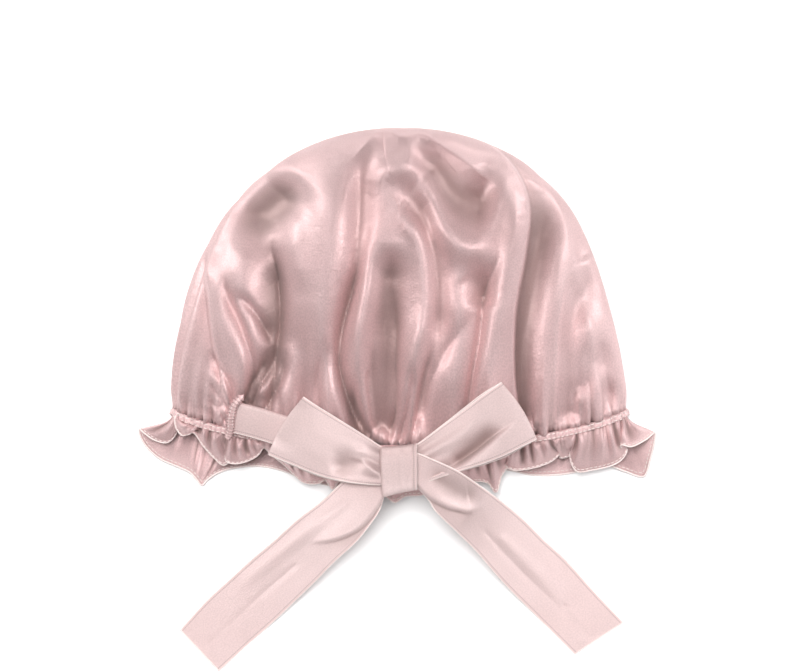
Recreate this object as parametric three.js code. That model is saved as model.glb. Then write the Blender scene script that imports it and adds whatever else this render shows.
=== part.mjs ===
// A satin sleep bonnet with a drawstring ribbon tied in a bow, lying on its back on a table.
// Millimetres. +Z is up from the table, +Y runs to the top of the crown, and -Y is out of the mouth.
// The origin is in the middle of the flat on which the crown's back rests.
import * as THREE from "three";

// ---- Driving dimensions ----
const CLOTH = 1.4; // wall of the crown and the frill, a doubled satin
const GAP = 0.3; // clearance between neighbouring pieces
const RESTING = 0.1; // the frill clears the table by this much
const MOUTH = { halfWidth: 132, sideY: -71, frontSag: 21, sagPower: 1.5, backSag: 9, leftSkew: 9 };
const CROWN = { topY: 90, roundness: 0.909, sideInset: 22, arch: 0.85 };
const FOLD_FADE = { head: 0.3, mouth: 0.15, mouthShare: 0.35, side: 0.35, end: 0.12 };
const CASING = { depth: 8, thickness: 3, squareness: 0.6 };
const FRILL = { depth: 27, waves: 21, swell: 5.2, sideways: 2.6, clearUnderBow: 56, underBowShare: 0.25 };
const FRILL_FALL = { fan: 0.8, ahead: 0.9, drop: 0.62, lieUp: 0.55, lieShare: 0.45 };
const RIBBON = { width: 34, thickness: 1, crease: 1.2 };
const FOLDED = { width: 17, thickness: 2.4 }; // the ribbon folded lengthwise, as it runs in the casing
const KNOT = { centre: [-2, -105, 59], width: 19, height: 28, depth: 15, wall: 1.4 };
const KNOT_FORM = { waist: 0.06, squareness: 0.75 };
const LOOP = { puff: 7.5, pinched: 0.38, knotShare: 0.06, neck: 1.9, roundness: 0.62, lift: 0.6 };
const TAIL = { pinched: 0.26, pinchedTo: 0.16, fullFrom: 0.41, uprightFrom: 0.25, creaseFrom: 0.33 };
const BOW_TILT = THREE.MathUtils.degToRad(18); // the bow leans back on the crown
const RUN_TILT = THREE.MathUtils.degToRad(30); // the folded ribbon leans on the crown beside its slot

// ---- Tables ----
// Sections of the crown. reach is the share of the way from the mouth to the crown's far end, side
// the height of the crown's widest line, and top the height of its middle.
const SECTIONS = [
  { reach: 0, side: 10, top: 42 },
  { reach: 0.1, side: 16, top: 59 },
  { reach: 0.25, side: 21, top: 74 },
  { reach: 0.45, side: 25, top: 84 },
  { reach: 0.65, side: 26, top: 82 },
  { reach: 0.82, side: 25, top: 69 },
  { reach: 0.93, side: 24, top: 50 },
  { reach: 1, side: 24, top: 24 },
];

// Folds of the crown's face, seen from above, each along a path from its foot to its head.
// rise is above zero on a ridge and below it in a valley, and width is half the fold's breadth.
const FOLDS = [
  { name: "side valley", width: 5, rise: -5, path: [[-100, -66], [-113, -15], [-108, 27]] },
  { name: "ear ridge", width: 5, rise: 3, path: [[-91, -60], [-95, -28], [-106, 14]] },
  { name: "temple ridge", width: 6, rise: 3, path: [[-80, -50], [-90, -12], [-99, 12]] },
  { name: "deep valley", width: 6, rise: -8, path: [[-85, -58], [-70, -28], [-69, 0], [-75, 29]] },
  { name: "temple hollow", width: 15, rise: -6, path: [[-67, 57], [-83, 46], [-98, 29]] },
  { name: "brow ridge", width: 9, rise: 6, path: [[-34, -66], [-44, -15], [-57, 34], [-50, 80]] },
  { name: "cheek valley", width: 6, rise: -4, path: [[-50, -60], [-51, -36], [-48, -13]] },
  { name: "panel valley", width: 6, rise: -8, path: [[-21, -78], [-31, -16], [-20, 25], [-24, 70]] },
  { name: "arch, left leg", width: 5, rise: 4, path: [[-24, -9], [-17, 20], [-5, 36]] },
  { name: "arch, right leg", width: 5, rise: 5, path: [[5, -76], [6, -10], [6, 20], [-5, 36]] },
  { name: "arch hollow", width: 7, rise: -5, path: [[-4, -76], [-4, -20], [-5, 20]] },
  { name: "outer arch", width: 6, rise: 5, path: [[-15, 42], [2, 66], [18, 42], [45, 17]] },
  { name: "inner valley", width: 5, rise: -5, path: [[13, -25], [13, 3], [3, 47]] },
  { name: "top hollow", width: 13, rise: -7, path: [[-1, 77], [16, 63], [30, 47]] },
  { name: "crest", width: 5, rise: 4, path: [[-22, 70], [-9, 86], [12, 84], [33, 57]] },
  { name: "slope crease", width: 6, rise: -4, path: [[9, -76], [16, -37], [38, -13]] },
  { name: "strip valley", width: 5, rise: -4, path: [[42, -58], [43, -25], [57, 27]] },
  { name: "strip ridge", width: 7, rise: 5, path: [[52, -58], [55, -10], [61, 46]] },
  { name: "overlap", width: 7, rise: -8, path: [[64, -68], [64, -5], [72, 42], [48, 80]] },
  { name: "back ridge", width: 7, rise: 3, path: [[75, -66], [77, -20], [83, 34]] },
  { name: "back crease", width: 5, rise: -4, path: [[86, -70], [89, -15], [99, 24]] },
  { name: "edge hollow", width: 9, rise: -4, path: [[100, -60], [106, -30], [110, -5]] },
];

// Loops of the bow in the bow's own plane, from the knot: where each layer starts, where the middle
// of its turned end lies, and how far that end slants, as a share of the width.
const LOOPS = [
  { name: "bow_loop_left", from: [-7, 2], to: [-66, 25], slant: -0.24 },
  { name: "bow_loop_right", from: [7, 2], to: [69, 35], slant: 0.28 },
];

// Tails, in plan from the knot's centre, and each one's height above the table along its length.
const TAILS = [
  { name: "tail_left", from: [-2, -3.5], leaving: [-22, -4], arriving: [-60, -56], to: [-114, -104] },
  { name: "tail_right", from: [2, -3.5], leaving: [22, -3.5], arriving: [60, -45], to: [117, -97] },
];
const TAIL_HEIGHTS = [
  { along: 0, height: 54 },
  { along: 0.1, height: 54 },
  { along: 0.2, height: 51 },
  { along: 0.34, height: 43 },
  { along: 0.5, height: 24 },
  { along: 0.65, height: 7 },
  { along: 0.78, height: 0.6 },
  { along: 1, height: 0.6 },
];

// Folded ribbon from its slot in the casing to the knot, in plan, with its height.
const RUNS = [
  { name: "ribbon_run_left", path: [[-94, -78, 43], [-62, -88, 46], [-36, -96, 47], [-6, -101, 47.6]] },
  { name: "ribbon_run_right", path: [[60, -88, 46], [42, -93, 46.6], [24, -98, 47], [3, -101, 47.6]] },
];

// ---- Curves ----
const clamp01 = (x) => Math.min(1, Math.max(0, x));
const smooth = (x) => clamp01(x) ** 2 * (3 - 2 * clamp01(x));
const powered = (x, p) => Math.sign(x) * Math.abs(x) ** p;

// Reads one column of a table as a smooth curve, by cubic pieces whose slope at a row is the slope
// between that row's neighbours.
function reader(rows, key, column) {
  const slope = rows.map((_, i) => {
    const a = rows[Math.max(0, i - 1)];
    const b = rows[Math.min(rows.length - 1, i + 1)];
    return (b[column] - a[column]) / (b[key] - a[key]);
  });
  return (at) => {
    let i = 0;
    while (i < rows.length - 2 && at > rows[i + 1][key]) i += 1;
    const step = rows[i + 1][key] - rows[i][key];
    const s = (at - rows[i][key]) / step;
    const ends = rows[i][column] * (1 + 2 * s) * (1 - s) ** 2 + rows[i + 1][column] * s * s * (3 - 2 * s);
    return ends + step * (slope[i] * s * (1 - s) ** 2 - slope[i + 1] * s * s * (1 - s));
  };
}

const sideHeight = reader(SECTIONS, "reach", "side");
const topHeight = reader(SECTIONS, "reach", "top");
const tailHeight = reader(TAIL_HEIGHTS, "along", "height");

const PATH_STEPS = 20;
const foldPaths = FOLDS.map(({ path, width, rise }) => {
  const curve = new THREE.CatmullRomCurve3(path.map(([x, y]) => new THREE.Vector3(x, y, 0)));
  return { width, rise, points: curve.getPoints(PATH_STEPS) };
});

// How far the folds lift the crown's face at a point in plan: each fold is a rounded ridge or
// valley across its path that fades towards its head.
function foldLift(x, y) {
  let lift = 0;
  for (const { width, rise, points } of foldPaths) {
    let nearest = Infinity;
    let along = 0;
    points.forEach((p, i) => {
      const distance = Math.hypot(p.x - x, p.y - y);
      if (distance < nearest) {
        nearest = distance;
        along = i / PATH_STEPS;
      }
    });
    lift += rise * Math.exp(-((nearest / width) ** 2)) * smooth((1 - along) / FOLD_FADE.head + 0.3);
  }
  return lift;
}

// ---- Solids ----
function meshGeometry(positions, index) {
  const geometry = new THREE.BufferGeometry();
  geometry.setAttribute("position", new THREE.Float32BufferAttribute(positions, 3));
  geometry.setIndex(index);
  geometry.computeVertexNormals();
  return geometry;
}

// Closes a sheet into a solid wall. pointAt(u, v) is a surface over the unit square; the wall reaches
// `front` to the side that dv x du faces and `back` to the other. A ring is closed in u, and a dome
// also closes to one point at v = 1.
function wallGeometry(pointAt, { columns, rows, front, back, ring = false, dome = false }) {
  const NUDGE = 1e-3;
  const across = ring ? columns : columns + 1;
  const layers = dome ? rows : rows + 1;
  const positions = [];
  const offsetPoint = (u, v, distance) => {
    const low = Math.min(v, 1 - 2 * NUDGE);
    const du = pointAt(u + NUDGE, low).sub(pointAt(u - NUDGE, low));
    const dv = pointAt(u, low + NUDGE).sub(pointAt(u, low));
    const normal = dv.cross(du).normalize();
    return pointAt(u, v).addScaledVector(normal, distance);
  };
  const pole = (distance) => {
    const back = pointAt(0.25, 1 - NUDGE).add(pointAt(0.75, 1 - NUDGE)).multiplyScalar(0.5);
    const tip = pointAt(0, 1);
    return tip.clone().addScaledVector(tip.clone().sub(back).normalize(), distance);
  };
  for (const distance of [front, -back]) {
    for (let j = 0; j < layers; j += 1) {
      for (let i = 0; i < across; i += 1) {
        positions.push(...offsetPoint(i / columns, j / rows, distance));
      }
    }
    if (dome) positions.push(...pole(distance));
  }
  const perSide = layers * across + (dome ? 1 : 0);
  const at = (side, i, j) => side * perSide + j * across + (i % across);
  const index = [];
  const quad = (a, b, c, d) => index.push(a, b, c, a, c, d);
  for (let i = 0; i < columns; i += 1) {
    for (let j = 0; j < layers - 1; j += 1) {
      quad(at(0, i, j), at(0, i, j + 1), at(0, i + 1, j + 1), at(0, i + 1, j));
      quad(at(1, i, j), at(1, i + 1, j), at(1, i + 1, j + 1), at(1, i, j + 1));
    }
    quad(at(0, i, 0), at(0, i + 1, 0), at(1, i + 1, 0), at(1, i, 0));
    const last = layers - 1;
    if (dome) {
      index.push(at(0, i, last), perSide - 1, at(0, i + 1, last));
      index.push(at(1, i, last), at(1, i + 1, last), 2 * perSide - 1);
    } else {
      quad(at(0, i, last), at(1, i, last), at(1, i + 1, last), at(0, i + 1, last));
    }
  }
  if (!ring) {
    for (let j = 0; j < rows; j += 1) {
      quad(at(0, 0, j), at(1, 0, j), at(1, 0, j + 1), at(0, 0, j + 1));
      quad(at(0, columns, j), at(0, columns, j + 1), at(1, columns, j + 1), at(1, columns, j));
    }
  }
  return meshGeometry(positions, index);
}

// ---- Mouth ----
// The angle runs round the mouth from its right side, over the face and back underneath.
const angleOf = (u) => 2 * Math.PI * u;

// A section's point at an angle: the face is an arch above the side line, and the back turns under
// in a quarter ellipse and then lies flat on the table.
function sectionPoint(angle, halfWidth, y, side, top) {
  const x = halfWidth * Math.cos(angle);
  const s = Math.sin(angle);
  if (s >= 0) return new THREE.Vector3(x, y, side + (top - side) * s ** CROWN.arch);
  const inset = Math.min(CROWN.sideInset, halfWidth);
  const outside = clamp01(1 - (halfWidth - Math.abs(x)) / inset);
  return new THREE.Vector3(x, y, side * (1 - Math.sqrt(1 - outside ** 2)));
}

// The mouth's line in plan: it sags forward in the middle, more over the face than underneath,
// and the back sits askew towards the left.
function mouthY(angle) {
  const s = Math.sin(angle);
  if (s >= 0) return MOUTH.sideY - MOUTH.frontSag * s ** MOUTH.sagPower;
  const left = smooth((1 - Math.cos(angle)) / 2);
  return MOUTH.sideY + (MOUTH.backSag + MOUTH.leftSkew * left) * s;
}

// ---- Crown ----
function crownPoint(u, v) {
  const angle = angleOf(u);
  const turn = (v * Math.PI) / 2;
  const halfWidth = MOUTH.halfWidth * powered(Math.cos(turn), CROWN.roundness);
  const share = powered(Math.sin(turn), CROWN.roundness);
  const y = mouthY(angle) * (1 - share) + CROWN.topY * share;
  const point = sectionPoint(angle, halfWidth, y, sideHeight(v), topHeight(v));
  const face = smooth(Math.sin(angle) / FOLD_FADE.side) * smooth((1 - v) / FOLD_FADE.end);
  const clearOfMouth = smooth(FOLD_FADE.mouthShare + v / FOLD_FADE.mouth);
  if (face > 0) point.z += foldLift(point.x, point.y) * face * clearOfMouth;
  return point;
}

// The middle of the cloth at the mouth.
function mouthPoint(u) {
  const point = crownPoint(u, 0);
  return point.setZ(Math.max(point.z - CLOTH / 2, CLOTH / 2));
}

// ---- Casing and frill ----
// Out of the mouth along the cloth: spread at the sides and dipping a little over the face.
const SPREAD = 0.22;
const DIP = 0.12;
const forward = (angle) =>
  new THREE.Vector3(SPREAD * Math.cos(angle), -1, -DIP * Math.max(0, Math.sin(angle))).normalize();

// Away from the inside of the mouth's loop, which is as good as flat but for its two ends.
const outward = (angle) =>
  new THREE.Vector3(powered(Math.cos(angle), 3), 0, powered(Math.sin(angle), 0.5)).normalize();

// The casing is a flattened tube of cloth round the mouth, with the ribbon inside it.
function casingGeometry({ columns, corners }) {
  const positions = [];
  const index = [];
  const at = (i, j) => (i % columns) * corners + (j % corners);
  for (let i = 0; i < columns; i += 1) {
    const angle = angleOf(i / columns);
    const out = forward(angle);
    const centre = mouthPoint(i / columns).addScaledVector(out, 2 * GAP + CASING.depth / 2);
    centre.z = Math.max(centre.z, CASING.thickness / 2);
    for (let j = 0; j < corners; j += 1) {
      const turn = (2 * Math.PI * (j + 0.5)) / corners;
      const along = (CASING.depth / 2) * powered(Math.cos(turn), CASING.squareness);
      const across = (CASING.thickness / 2) * powered(Math.sin(turn), CASING.squareness);
      const point = centre.clone().addScaledVector(out, along).addScaledVector(outward(angle), across);
      positions.push(...point);
      index.push(at(i, j), at(i, j + 1), at(i + 1, j), at(i, j + 1), at(i + 1, j + 1), at(i + 1, j));
    }
  }
  return meshGeometry(positions, index);
}

// The frill leaves the casing straight and swells into waves towards its hem. Over the face it
// falls forward, at the sides it fans out, and underneath it lies on the table. Under the bow the
// bow holds it down.
function frillPoint(u, v) {
  const angle = angleOf(u);
  const [c, s] = [Math.cos(angle), Math.sin(angle)];
  const face = Math.max(0, s);
  const start = mouthPoint(u).addScaledVector(forward(angle), 4 * GAP + CASING.depth);
  const { fan, ahead, drop, lieUp, lieShare } = FRILL_FALL;
  const fall = new THREE.Vector3(fan * powered(c, 3), -ahead, -drop * powered(face, 0.7)).normalize();
  const point = start.addScaledVector(fall, FRILL.depth * v);
  const reach = Math.abs(point.x) / FRILL.clearUnderBow;
  const free = 1 - (1 - FRILL.underBowShare) * face * smooth(1.6 - reach);
  const phase = FRILL.waves * angle;
  const swell = FRILL.swell * smooth(v * 1.3) * free;
  const lying = 1 - face;
  point.x += FRILL.sideways * v * Math.sin(2 * phase) * free;
  point.y += swell * 0.5 * Math.cos(phase);
  point.z += swell * (Math.cos(phase) * (1 - lieShare * lying) + lieUp * lying);
  point.z = Math.max(point.z, (CLOTH + RESTING) / 2);
  return point;
}

// ---- Bow ----
const knotCentre = new THREE.Vector3(...KNOT.centre);

// From the bow's own plane, which leans back on the crown, to the part's frame.
function bowPoint(right, up, out) {
  return new THREE.Vector3(
    right,
    up * Math.cos(BOW_TILT) - out * Math.sin(BOW_TILT),
    up * Math.sin(BOW_TILT) + out * Math.cos(BOW_TILT),
  ).add(knotCentre);
}

// A loop runs out from the knot, turns over a rounded end and comes back underneath. It is pinched
// where the knot holds it and full width from its middle on. u runs round the loop, v across it.
function loopPoint({ from, to, slant }) {
  const start = new THREE.Vector2(...from);
  const way = new THREE.Vector2(...to).sub(start);
  const side = new THREE.Vector2(-way.y, way.x).normalize();
  const length = way.length();
  return (u, v) => {
    const turn = Math.PI * (u - 0.5);
    const reach = powered(Math.cos(turn), LOOP.roundness);
    const pinch = LOOP.pinched + (1 - LOOP.pinched) * smooth((reach - LOOP.knotShare) * 1.7);
    const offset = (v - 0.5) * RIBBON.width * pinch;
    const along = reach * (1 + (slant * offset) / length);
    const swell = LOOP.neck + (LOOP.puff - LOOP.neck) * smooth(reach * 1.3);
    const out = LOOP.lift - powered(Math.sin(turn), 0.8) * swell * powered(1 - reach ** 6, 0.5);
    const plan = start.clone().addScaledVector(way, along).addScaledVector(side, offset);
    return bowPoint(plan.x, plan.y, out);
  };
}

// The knot's wrap is a flattened tube round the gathered middle of the bow, open at both sides.
function knotPoint(u, v) {
  const angle = angleOf(u);
  const waist = 1 - KNOT_FORM.waist * Math.sin(Math.PI * v);
  const up = (KNOT.height / 2) * powered(Math.cos(angle), KNOT_FORM.squareness) * waist;
  const out = (KNOT.depth / 2) * powered(Math.sin(angle), KNOT_FORM.squareness);
  return bowPoint((v - 0.5) * KNOT.width, up, out);
}

// A tail leaves the knot narrow and tilted as the bow is, widens, and comes down to the table with
// the soft crease of its folding along its middle. u runs along it, v across it.
function tailPoint({ from, leaving, arriving, to }) {
  const handles = [from, leaving, arriving, to].map((p) => new THREE.Vector2(...p));
  const curve = new THREE.CubicBezierCurve(...handles);
  return (u, v) => {
    const at = clamp01(u);
    const centre = curve.getPoint(at);
    const heading = curve.getTangent(at);
    const widened = smooth((at - TAIL.pinchedTo) / (TAIL.fullFrom - TAIL.pinchedTo));
    const offset = (v - 0.5) * RIBBON.width * (TAIL.pinched + (1 - TAIL.pinched) * widened);
    const lean = BOW_TILT * (1 - smooth(at / TAIL.uprightFrom));
    const side = new THREE.Vector3(-heading.y, heading.x, 0);
    const crease = RIBBON.crease * (1 - Math.abs(2 * v - 1)) * smooth(at / TAIL.creaseFrom);
    const point = new THREE.Vector3(knotCentre.x + centre.x, knotCentre.y + centre.y, 0);
    point.addScaledVector(side, offset * Math.cos(lean));
    point.z = Math.max(tailHeight(at), RIBBON.thickness) + crease;
    point.z += offset * Math.sin(lean) * Math.sign(side.y);
    return point;
  };
}

// The folded ribbon leans back on the crown's rise, less so at the bow. u runs along, v across.
function runPoint({ path }) {
  const curve = new THREE.CatmullRomCurve3(path.map((p) => new THREE.Vector3(...p)));
  return (u, v) => {
    const at = clamp01(u);
    const centre = curve.getPoint(at);
    const heading = curve.getTangent(at);
    const side = new THREE.Vector3(-heading.y, heading.x, 0).normalize();
    const lean = THREE.MathUtils.lerp(RUN_TILT, BOW_TILT, at);
    const offset = (v - 0.5) * FOLDED.width;
    centre.addScaledVector(side, offset * Math.cos(lean));
    centre.z += offset * Math.sin(lean) * Math.sign(heading.x);
    return centre;
  };
}

// ---- Assembly ----
const satin = new THREE.MeshStandardMaterial({ color: 0xdcb8b6, roughness: 0.38, metalness: 0 });
const ribbonSatin = new THREE.MeshStandardMaterial({ color: 0xe6c9c5, roughness: 0.32, metalness: 0 });

const bonnet = new THREE.Group();
function add(name, geometry, material) {
  const mesh = new THREE.Mesh(geometry, material);
  mesh.name = name;
  bonnet.add(mesh);
}

// How far a wall reaches to either side of the surface it is made from.
const centred = (thickness) => ({ front: thickness / 2, back: thickness / 2 });
const inward = (thickness) => ({ front: 0, back: thickness });

const crownMesh = { columns: 66, rows: 18, ring: true, dome: true };
add("crown", wallGeometry(crownPoint, { ...crownMesh, ...inward(CLOTH) }), satin);
add("casing", casingGeometry({ columns: 66, corners: 6 }), satin);
add("frill", wallGeometry(frillPoint, { columns: 132, rows: 3, ring: true, ...centred(CLOTH) }), satin);
const runMesh = { columns: 8, rows: 2, ...centred(FOLDED.thickness) };
for (const run of RUNS) add(run.name, wallGeometry(runPoint(run), runMesh), ribbonSatin);
const loopMesh = { columns: 20, rows: 4, ...centred(RIBBON.thickness) };
for (const loop of LOOPS) add(loop.name, wallGeometry(loopPoint(loop), loopMesh), ribbonSatin);
const knotMesh = { columns: 20, rows: 3, ring: true, ...centred(KNOT.wall) };
add("bow_knot", wallGeometry(knotPoint, knotMesh), ribbonSatin);
const tailMesh = { columns: 18, rows: 2, ...centred(RIBBON.thickness) };
for (const tail of TAILS) add(tail.name, wallGeometry(tailPoint(tail), tailMesh), ribbonSatin);

export default bonnet;
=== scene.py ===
"""A satin sleep bonnet with a drawstring bow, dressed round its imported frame.

The bonnet lies on its back. All shapes are worked out in millimetres and put into meshes in metres.
"""

import logging
import math
from dataclasses import dataclass, field
from enum import Enum

import bpy
import numpy as np
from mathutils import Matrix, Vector


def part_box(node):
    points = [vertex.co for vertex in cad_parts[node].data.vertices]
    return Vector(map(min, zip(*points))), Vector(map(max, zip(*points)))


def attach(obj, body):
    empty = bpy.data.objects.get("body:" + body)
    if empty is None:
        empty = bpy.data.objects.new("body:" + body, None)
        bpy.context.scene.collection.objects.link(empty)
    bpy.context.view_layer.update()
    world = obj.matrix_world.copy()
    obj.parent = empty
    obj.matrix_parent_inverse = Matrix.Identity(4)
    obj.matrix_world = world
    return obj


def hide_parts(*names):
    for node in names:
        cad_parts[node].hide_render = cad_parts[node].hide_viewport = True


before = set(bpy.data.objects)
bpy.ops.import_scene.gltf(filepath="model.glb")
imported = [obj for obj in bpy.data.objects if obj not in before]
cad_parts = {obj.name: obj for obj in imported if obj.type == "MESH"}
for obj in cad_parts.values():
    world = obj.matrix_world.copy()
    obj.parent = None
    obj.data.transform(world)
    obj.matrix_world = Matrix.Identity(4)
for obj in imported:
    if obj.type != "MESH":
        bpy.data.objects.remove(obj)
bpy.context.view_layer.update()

MM = 0.001
Array = np.ndarray
Socket = bpy.types.NodeSocket
Piece = bpy.types.Object
Material = bpy.types.Material
Colour = tuple[float, float, float, float]
Point = tuple[float, float, float]
log = logging.getLogger("bonnet")


# ---------------------------------------------------------------- curves and fields


def smooth(x: Array) -> Array:
    """Eases from 0 to 1 as x goes from 0 to 1: three x squared less two x cubed."""
    x = np.clip(x, 0.0, 1.0)
    return x * x * (3.0 - 2.0 * x)


def powered(x: Array, power: float) -> Array:
    """The size of x raised to a power, with x's own sign."""
    return np.sign(x) * np.abs(x) ** power


def unit(v: Array) -> Array:
    """Vectors along the last axis, scaled to length one."""
    return v / np.maximum(np.linalg.norm(v, axis=-1, keepdims=True), 1e-9)


def read_table(rows: Array, at: Array) -> Array:
    """Reads a table as a smooth curve.

    Between two rows it is a cubic whose slope at a row is the slope between that row's neighbours.

    Args:
        rows: the table, whose first column is the key, in rising order.
        at: where to read it, an array of any shape.

    Returns:
        The other columns at those places, on a last axis.
    """
    rows = np.asarray(rows, float)
    key, value = rows[:, 0], rows[:, 1:]
    ahead = np.minimum(np.arange(len(key)) + 1, len(key) - 1)
    behind = np.maximum(np.arange(len(key)) - 1, 0)
    slope = (value[ahead] - value[behind]) / (key[ahead] - key[behind])[:, None]
    i = np.clip(np.searchsorted(key, at, side="right") - 1, 0, len(key) - 2)
    step = (key[i + 1] - key[i])[..., None]
    s = (np.asarray(at)[..., None] - key[i][..., None]) / step
    ends = value[i] * (1 + 2 * s) * (1 - s) ** 2 + value[i + 1] * s * s * (3 - 2 * s)
    return ends + step * (slope[i] * s * (1 - s) ** 2 - slope[i + 1] * s * s * (1 - s))


def travelled(path: Array) -> Array:
    """How far along a path each of its points is: the running sum of its steps, from 0."""
    return np.r_[0.0, np.cumsum(np.linalg.norm(np.diff(path, axis=0), axis=1))]


def read_path(at: Array, key: Array, path: Array) -> Array:
    """Reads a path straight from point to point.

    Args:
        at: where to read it, an array of any shape.
        key: the key of each of the path's points, in rising order.
        path: the path's points.

    Returns:
        The places, with their coordinates on a last axis.
    """
    return np.stack([np.interp(at, key, path[:, k]) for k in range(path.shape[1])], axis=-1)


def curve_through(points: Array, count: int) -> Array:
    """Draws a smooth curve through some points, keyed by the chord's length.

    Args:
        points: the points that it passes through.
        count: how many places to give back.

    Returns:
        That many places, evenly spaced along the curve.
    """
    points = np.asarray(points, float)
    chord = travelled(points)
    dense = read_table(np.c_[chord, points], np.linspace(0.0, chord[-1], 8 * count))
    length = travelled(dense)
    return read_path(np.linspace(0.0, length[-1], count), length, dense)


def cloth_map(u: Array, v: Array) -> Array:
    """Places on the cloth in metres, from two arrays in millimetres that broadcast to one grid."""
    return np.stack(np.broadcast_arrays(u, v), axis=-1) * MM


def across_path(x: Array, y: Array, path: Array) -> tuple[Array, Array]:
    """Finds each place's nearest point on a path in plan.

    Args:
        x: places across, in millimetres.
        y: places up the crown, in millimetres.
        path: the path's points, from its foot to its head.

    Returns:
        The distance from the path, above zero on its left, and the share of the way along it.
    """
    places = np.stack([x.ravel(), y.ravel()], axis=-1)
    start, way = path[:-1], np.diff(path, axis=0)
    lengths = np.linalg.norm(way, axis=1)
    gone = np.r_[0.0, np.cumsum(lengths)]
    offset = places[:, None, :] - start[None]
    t = np.clip((offset * way).sum(-1) / (lengths**2), 0.0, 1.0)
    rest = offset - t[..., None] * way
    k = np.argmin((rest**2).sum(-1), axis=1)
    row = np.arange(len(places))
    nearest = rest[row, k]
    side = np.sign(way[k, 0] * nearest[:, 1] - way[k, 1] * nearest[:, 0])
    distance = side * np.linalg.norm(nearest, axis=1)
    along = (gone[k] + t[row, k] * lengths[k]) / gone[-1]
    return distance.reshape(x.shape), along.reshape(x.shape)


def ripples(place: Array, period: float, seed: int, wander: float = 0.35) -> Array:
    """Irregular waves: a sine whose phase is pushed about by three slower sines.

    Args:
        place: how far along the cloth, in millimetres.
        period: the waves' middling length.
        seed: the order of chance for the slower sines' starts.
        wander: how far they push the phase.

    Returns:
        The waves, from -1 to 1.
    """
    random = np.random.default_rng(seed)
    phase = 2 * np.pi * place / period
    for slower in (2.3, 3.7, 6.1):
        turn = random.uniform(0, 2 * np.pi)
        phase = phase + wander * slower * np.sin(2 * np.pi * place / (period * slower) + turn)
    return np.sin(phase)


# ---------------------------------------------------------------- shells


@dataclass
class Shell:
    """One closed surface: its points, its faces, and each face corner's place on the cloth."""

    points: Array
    quads: Array
    quad_uv: Array
    triangles: Array = field(default_factory=lambda: np.zeros((0, 3), int))
    triangle_uv: Array = field(default_factory=lambda: np.zeros((0, 3, 2)))
    quad_finish: Array | None = None
    # hollow: the shade painted at each point, from 0 to 1, most deep in folds.
    hollow: Array | None = None

    def facing_out(self) -> "Shell":
        """The same shell, with its faces turned round if the volume inside them is negative.

        Returns:
            This same shell.
        """
        p = self.points
        a, b, c, d = (p[self.quads[:, k]] for k in range(4))
        volume = (np.cross(a, b) * c).sum() + (np.cross(a, c) * d).sum()
        if len(self.triangles):
            e, f, g = (p[self.triangles[:, k]] for k in range(3))
            volume += (np.cross(e, f) * g).sum()
        if volume < 0:
            self.quads, self.quad_uv = self.quads[:, ::-1], self.quad_uv[:, ::-1]
            self.triangles, self.triangle_uv = self.triangles[:, ::-1], self.triangle_uv[:, ::-1]
        return self


def grid_normals(grid: Array, ring: bool) -> Array:
    """Normals of a grid of points, the cross product of its two directions.

    Args:
        grid: points, rows by columns by three.
        ring: whether the last column is followed by the first.

    Returns:
        A vector of length one for each point.
    """
    padded = np.concatenate([grid[:, -1:], grid, grid[:, :1]], axis=1) if ring else grid
    along = np.gradient(padded, axis=1)
    along = along[:, 1:-1] if ring else along
    return unit(np.cross(np.gradient(grid, axis=0), along))


def corner_grid(rows: int, columns: int, across: int) -> tuple[Array, Array, Array]:
    """Numbers the quads of a grid.

    Args:
        rows: quads up the grid.
        columns: quads across it.
        across: points across it, as many as the quads on a ring.

    Returns:
        The index of each quad's corners, and their rows and their columns.
    """
    j, i = np.meshgrid(np.arange(rows), np.arange(columns), indexing="ij")
    j, i = j.ravel()[:, None], i.ravel()[:, None]
    jj = np.concatenate([j, j + 1, j + 1, j], axis=1)
    ii = np.concatenate([i, i, i + 1, i + 1], axis=1)
    return jj * across + ii % across, jj, ii


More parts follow.
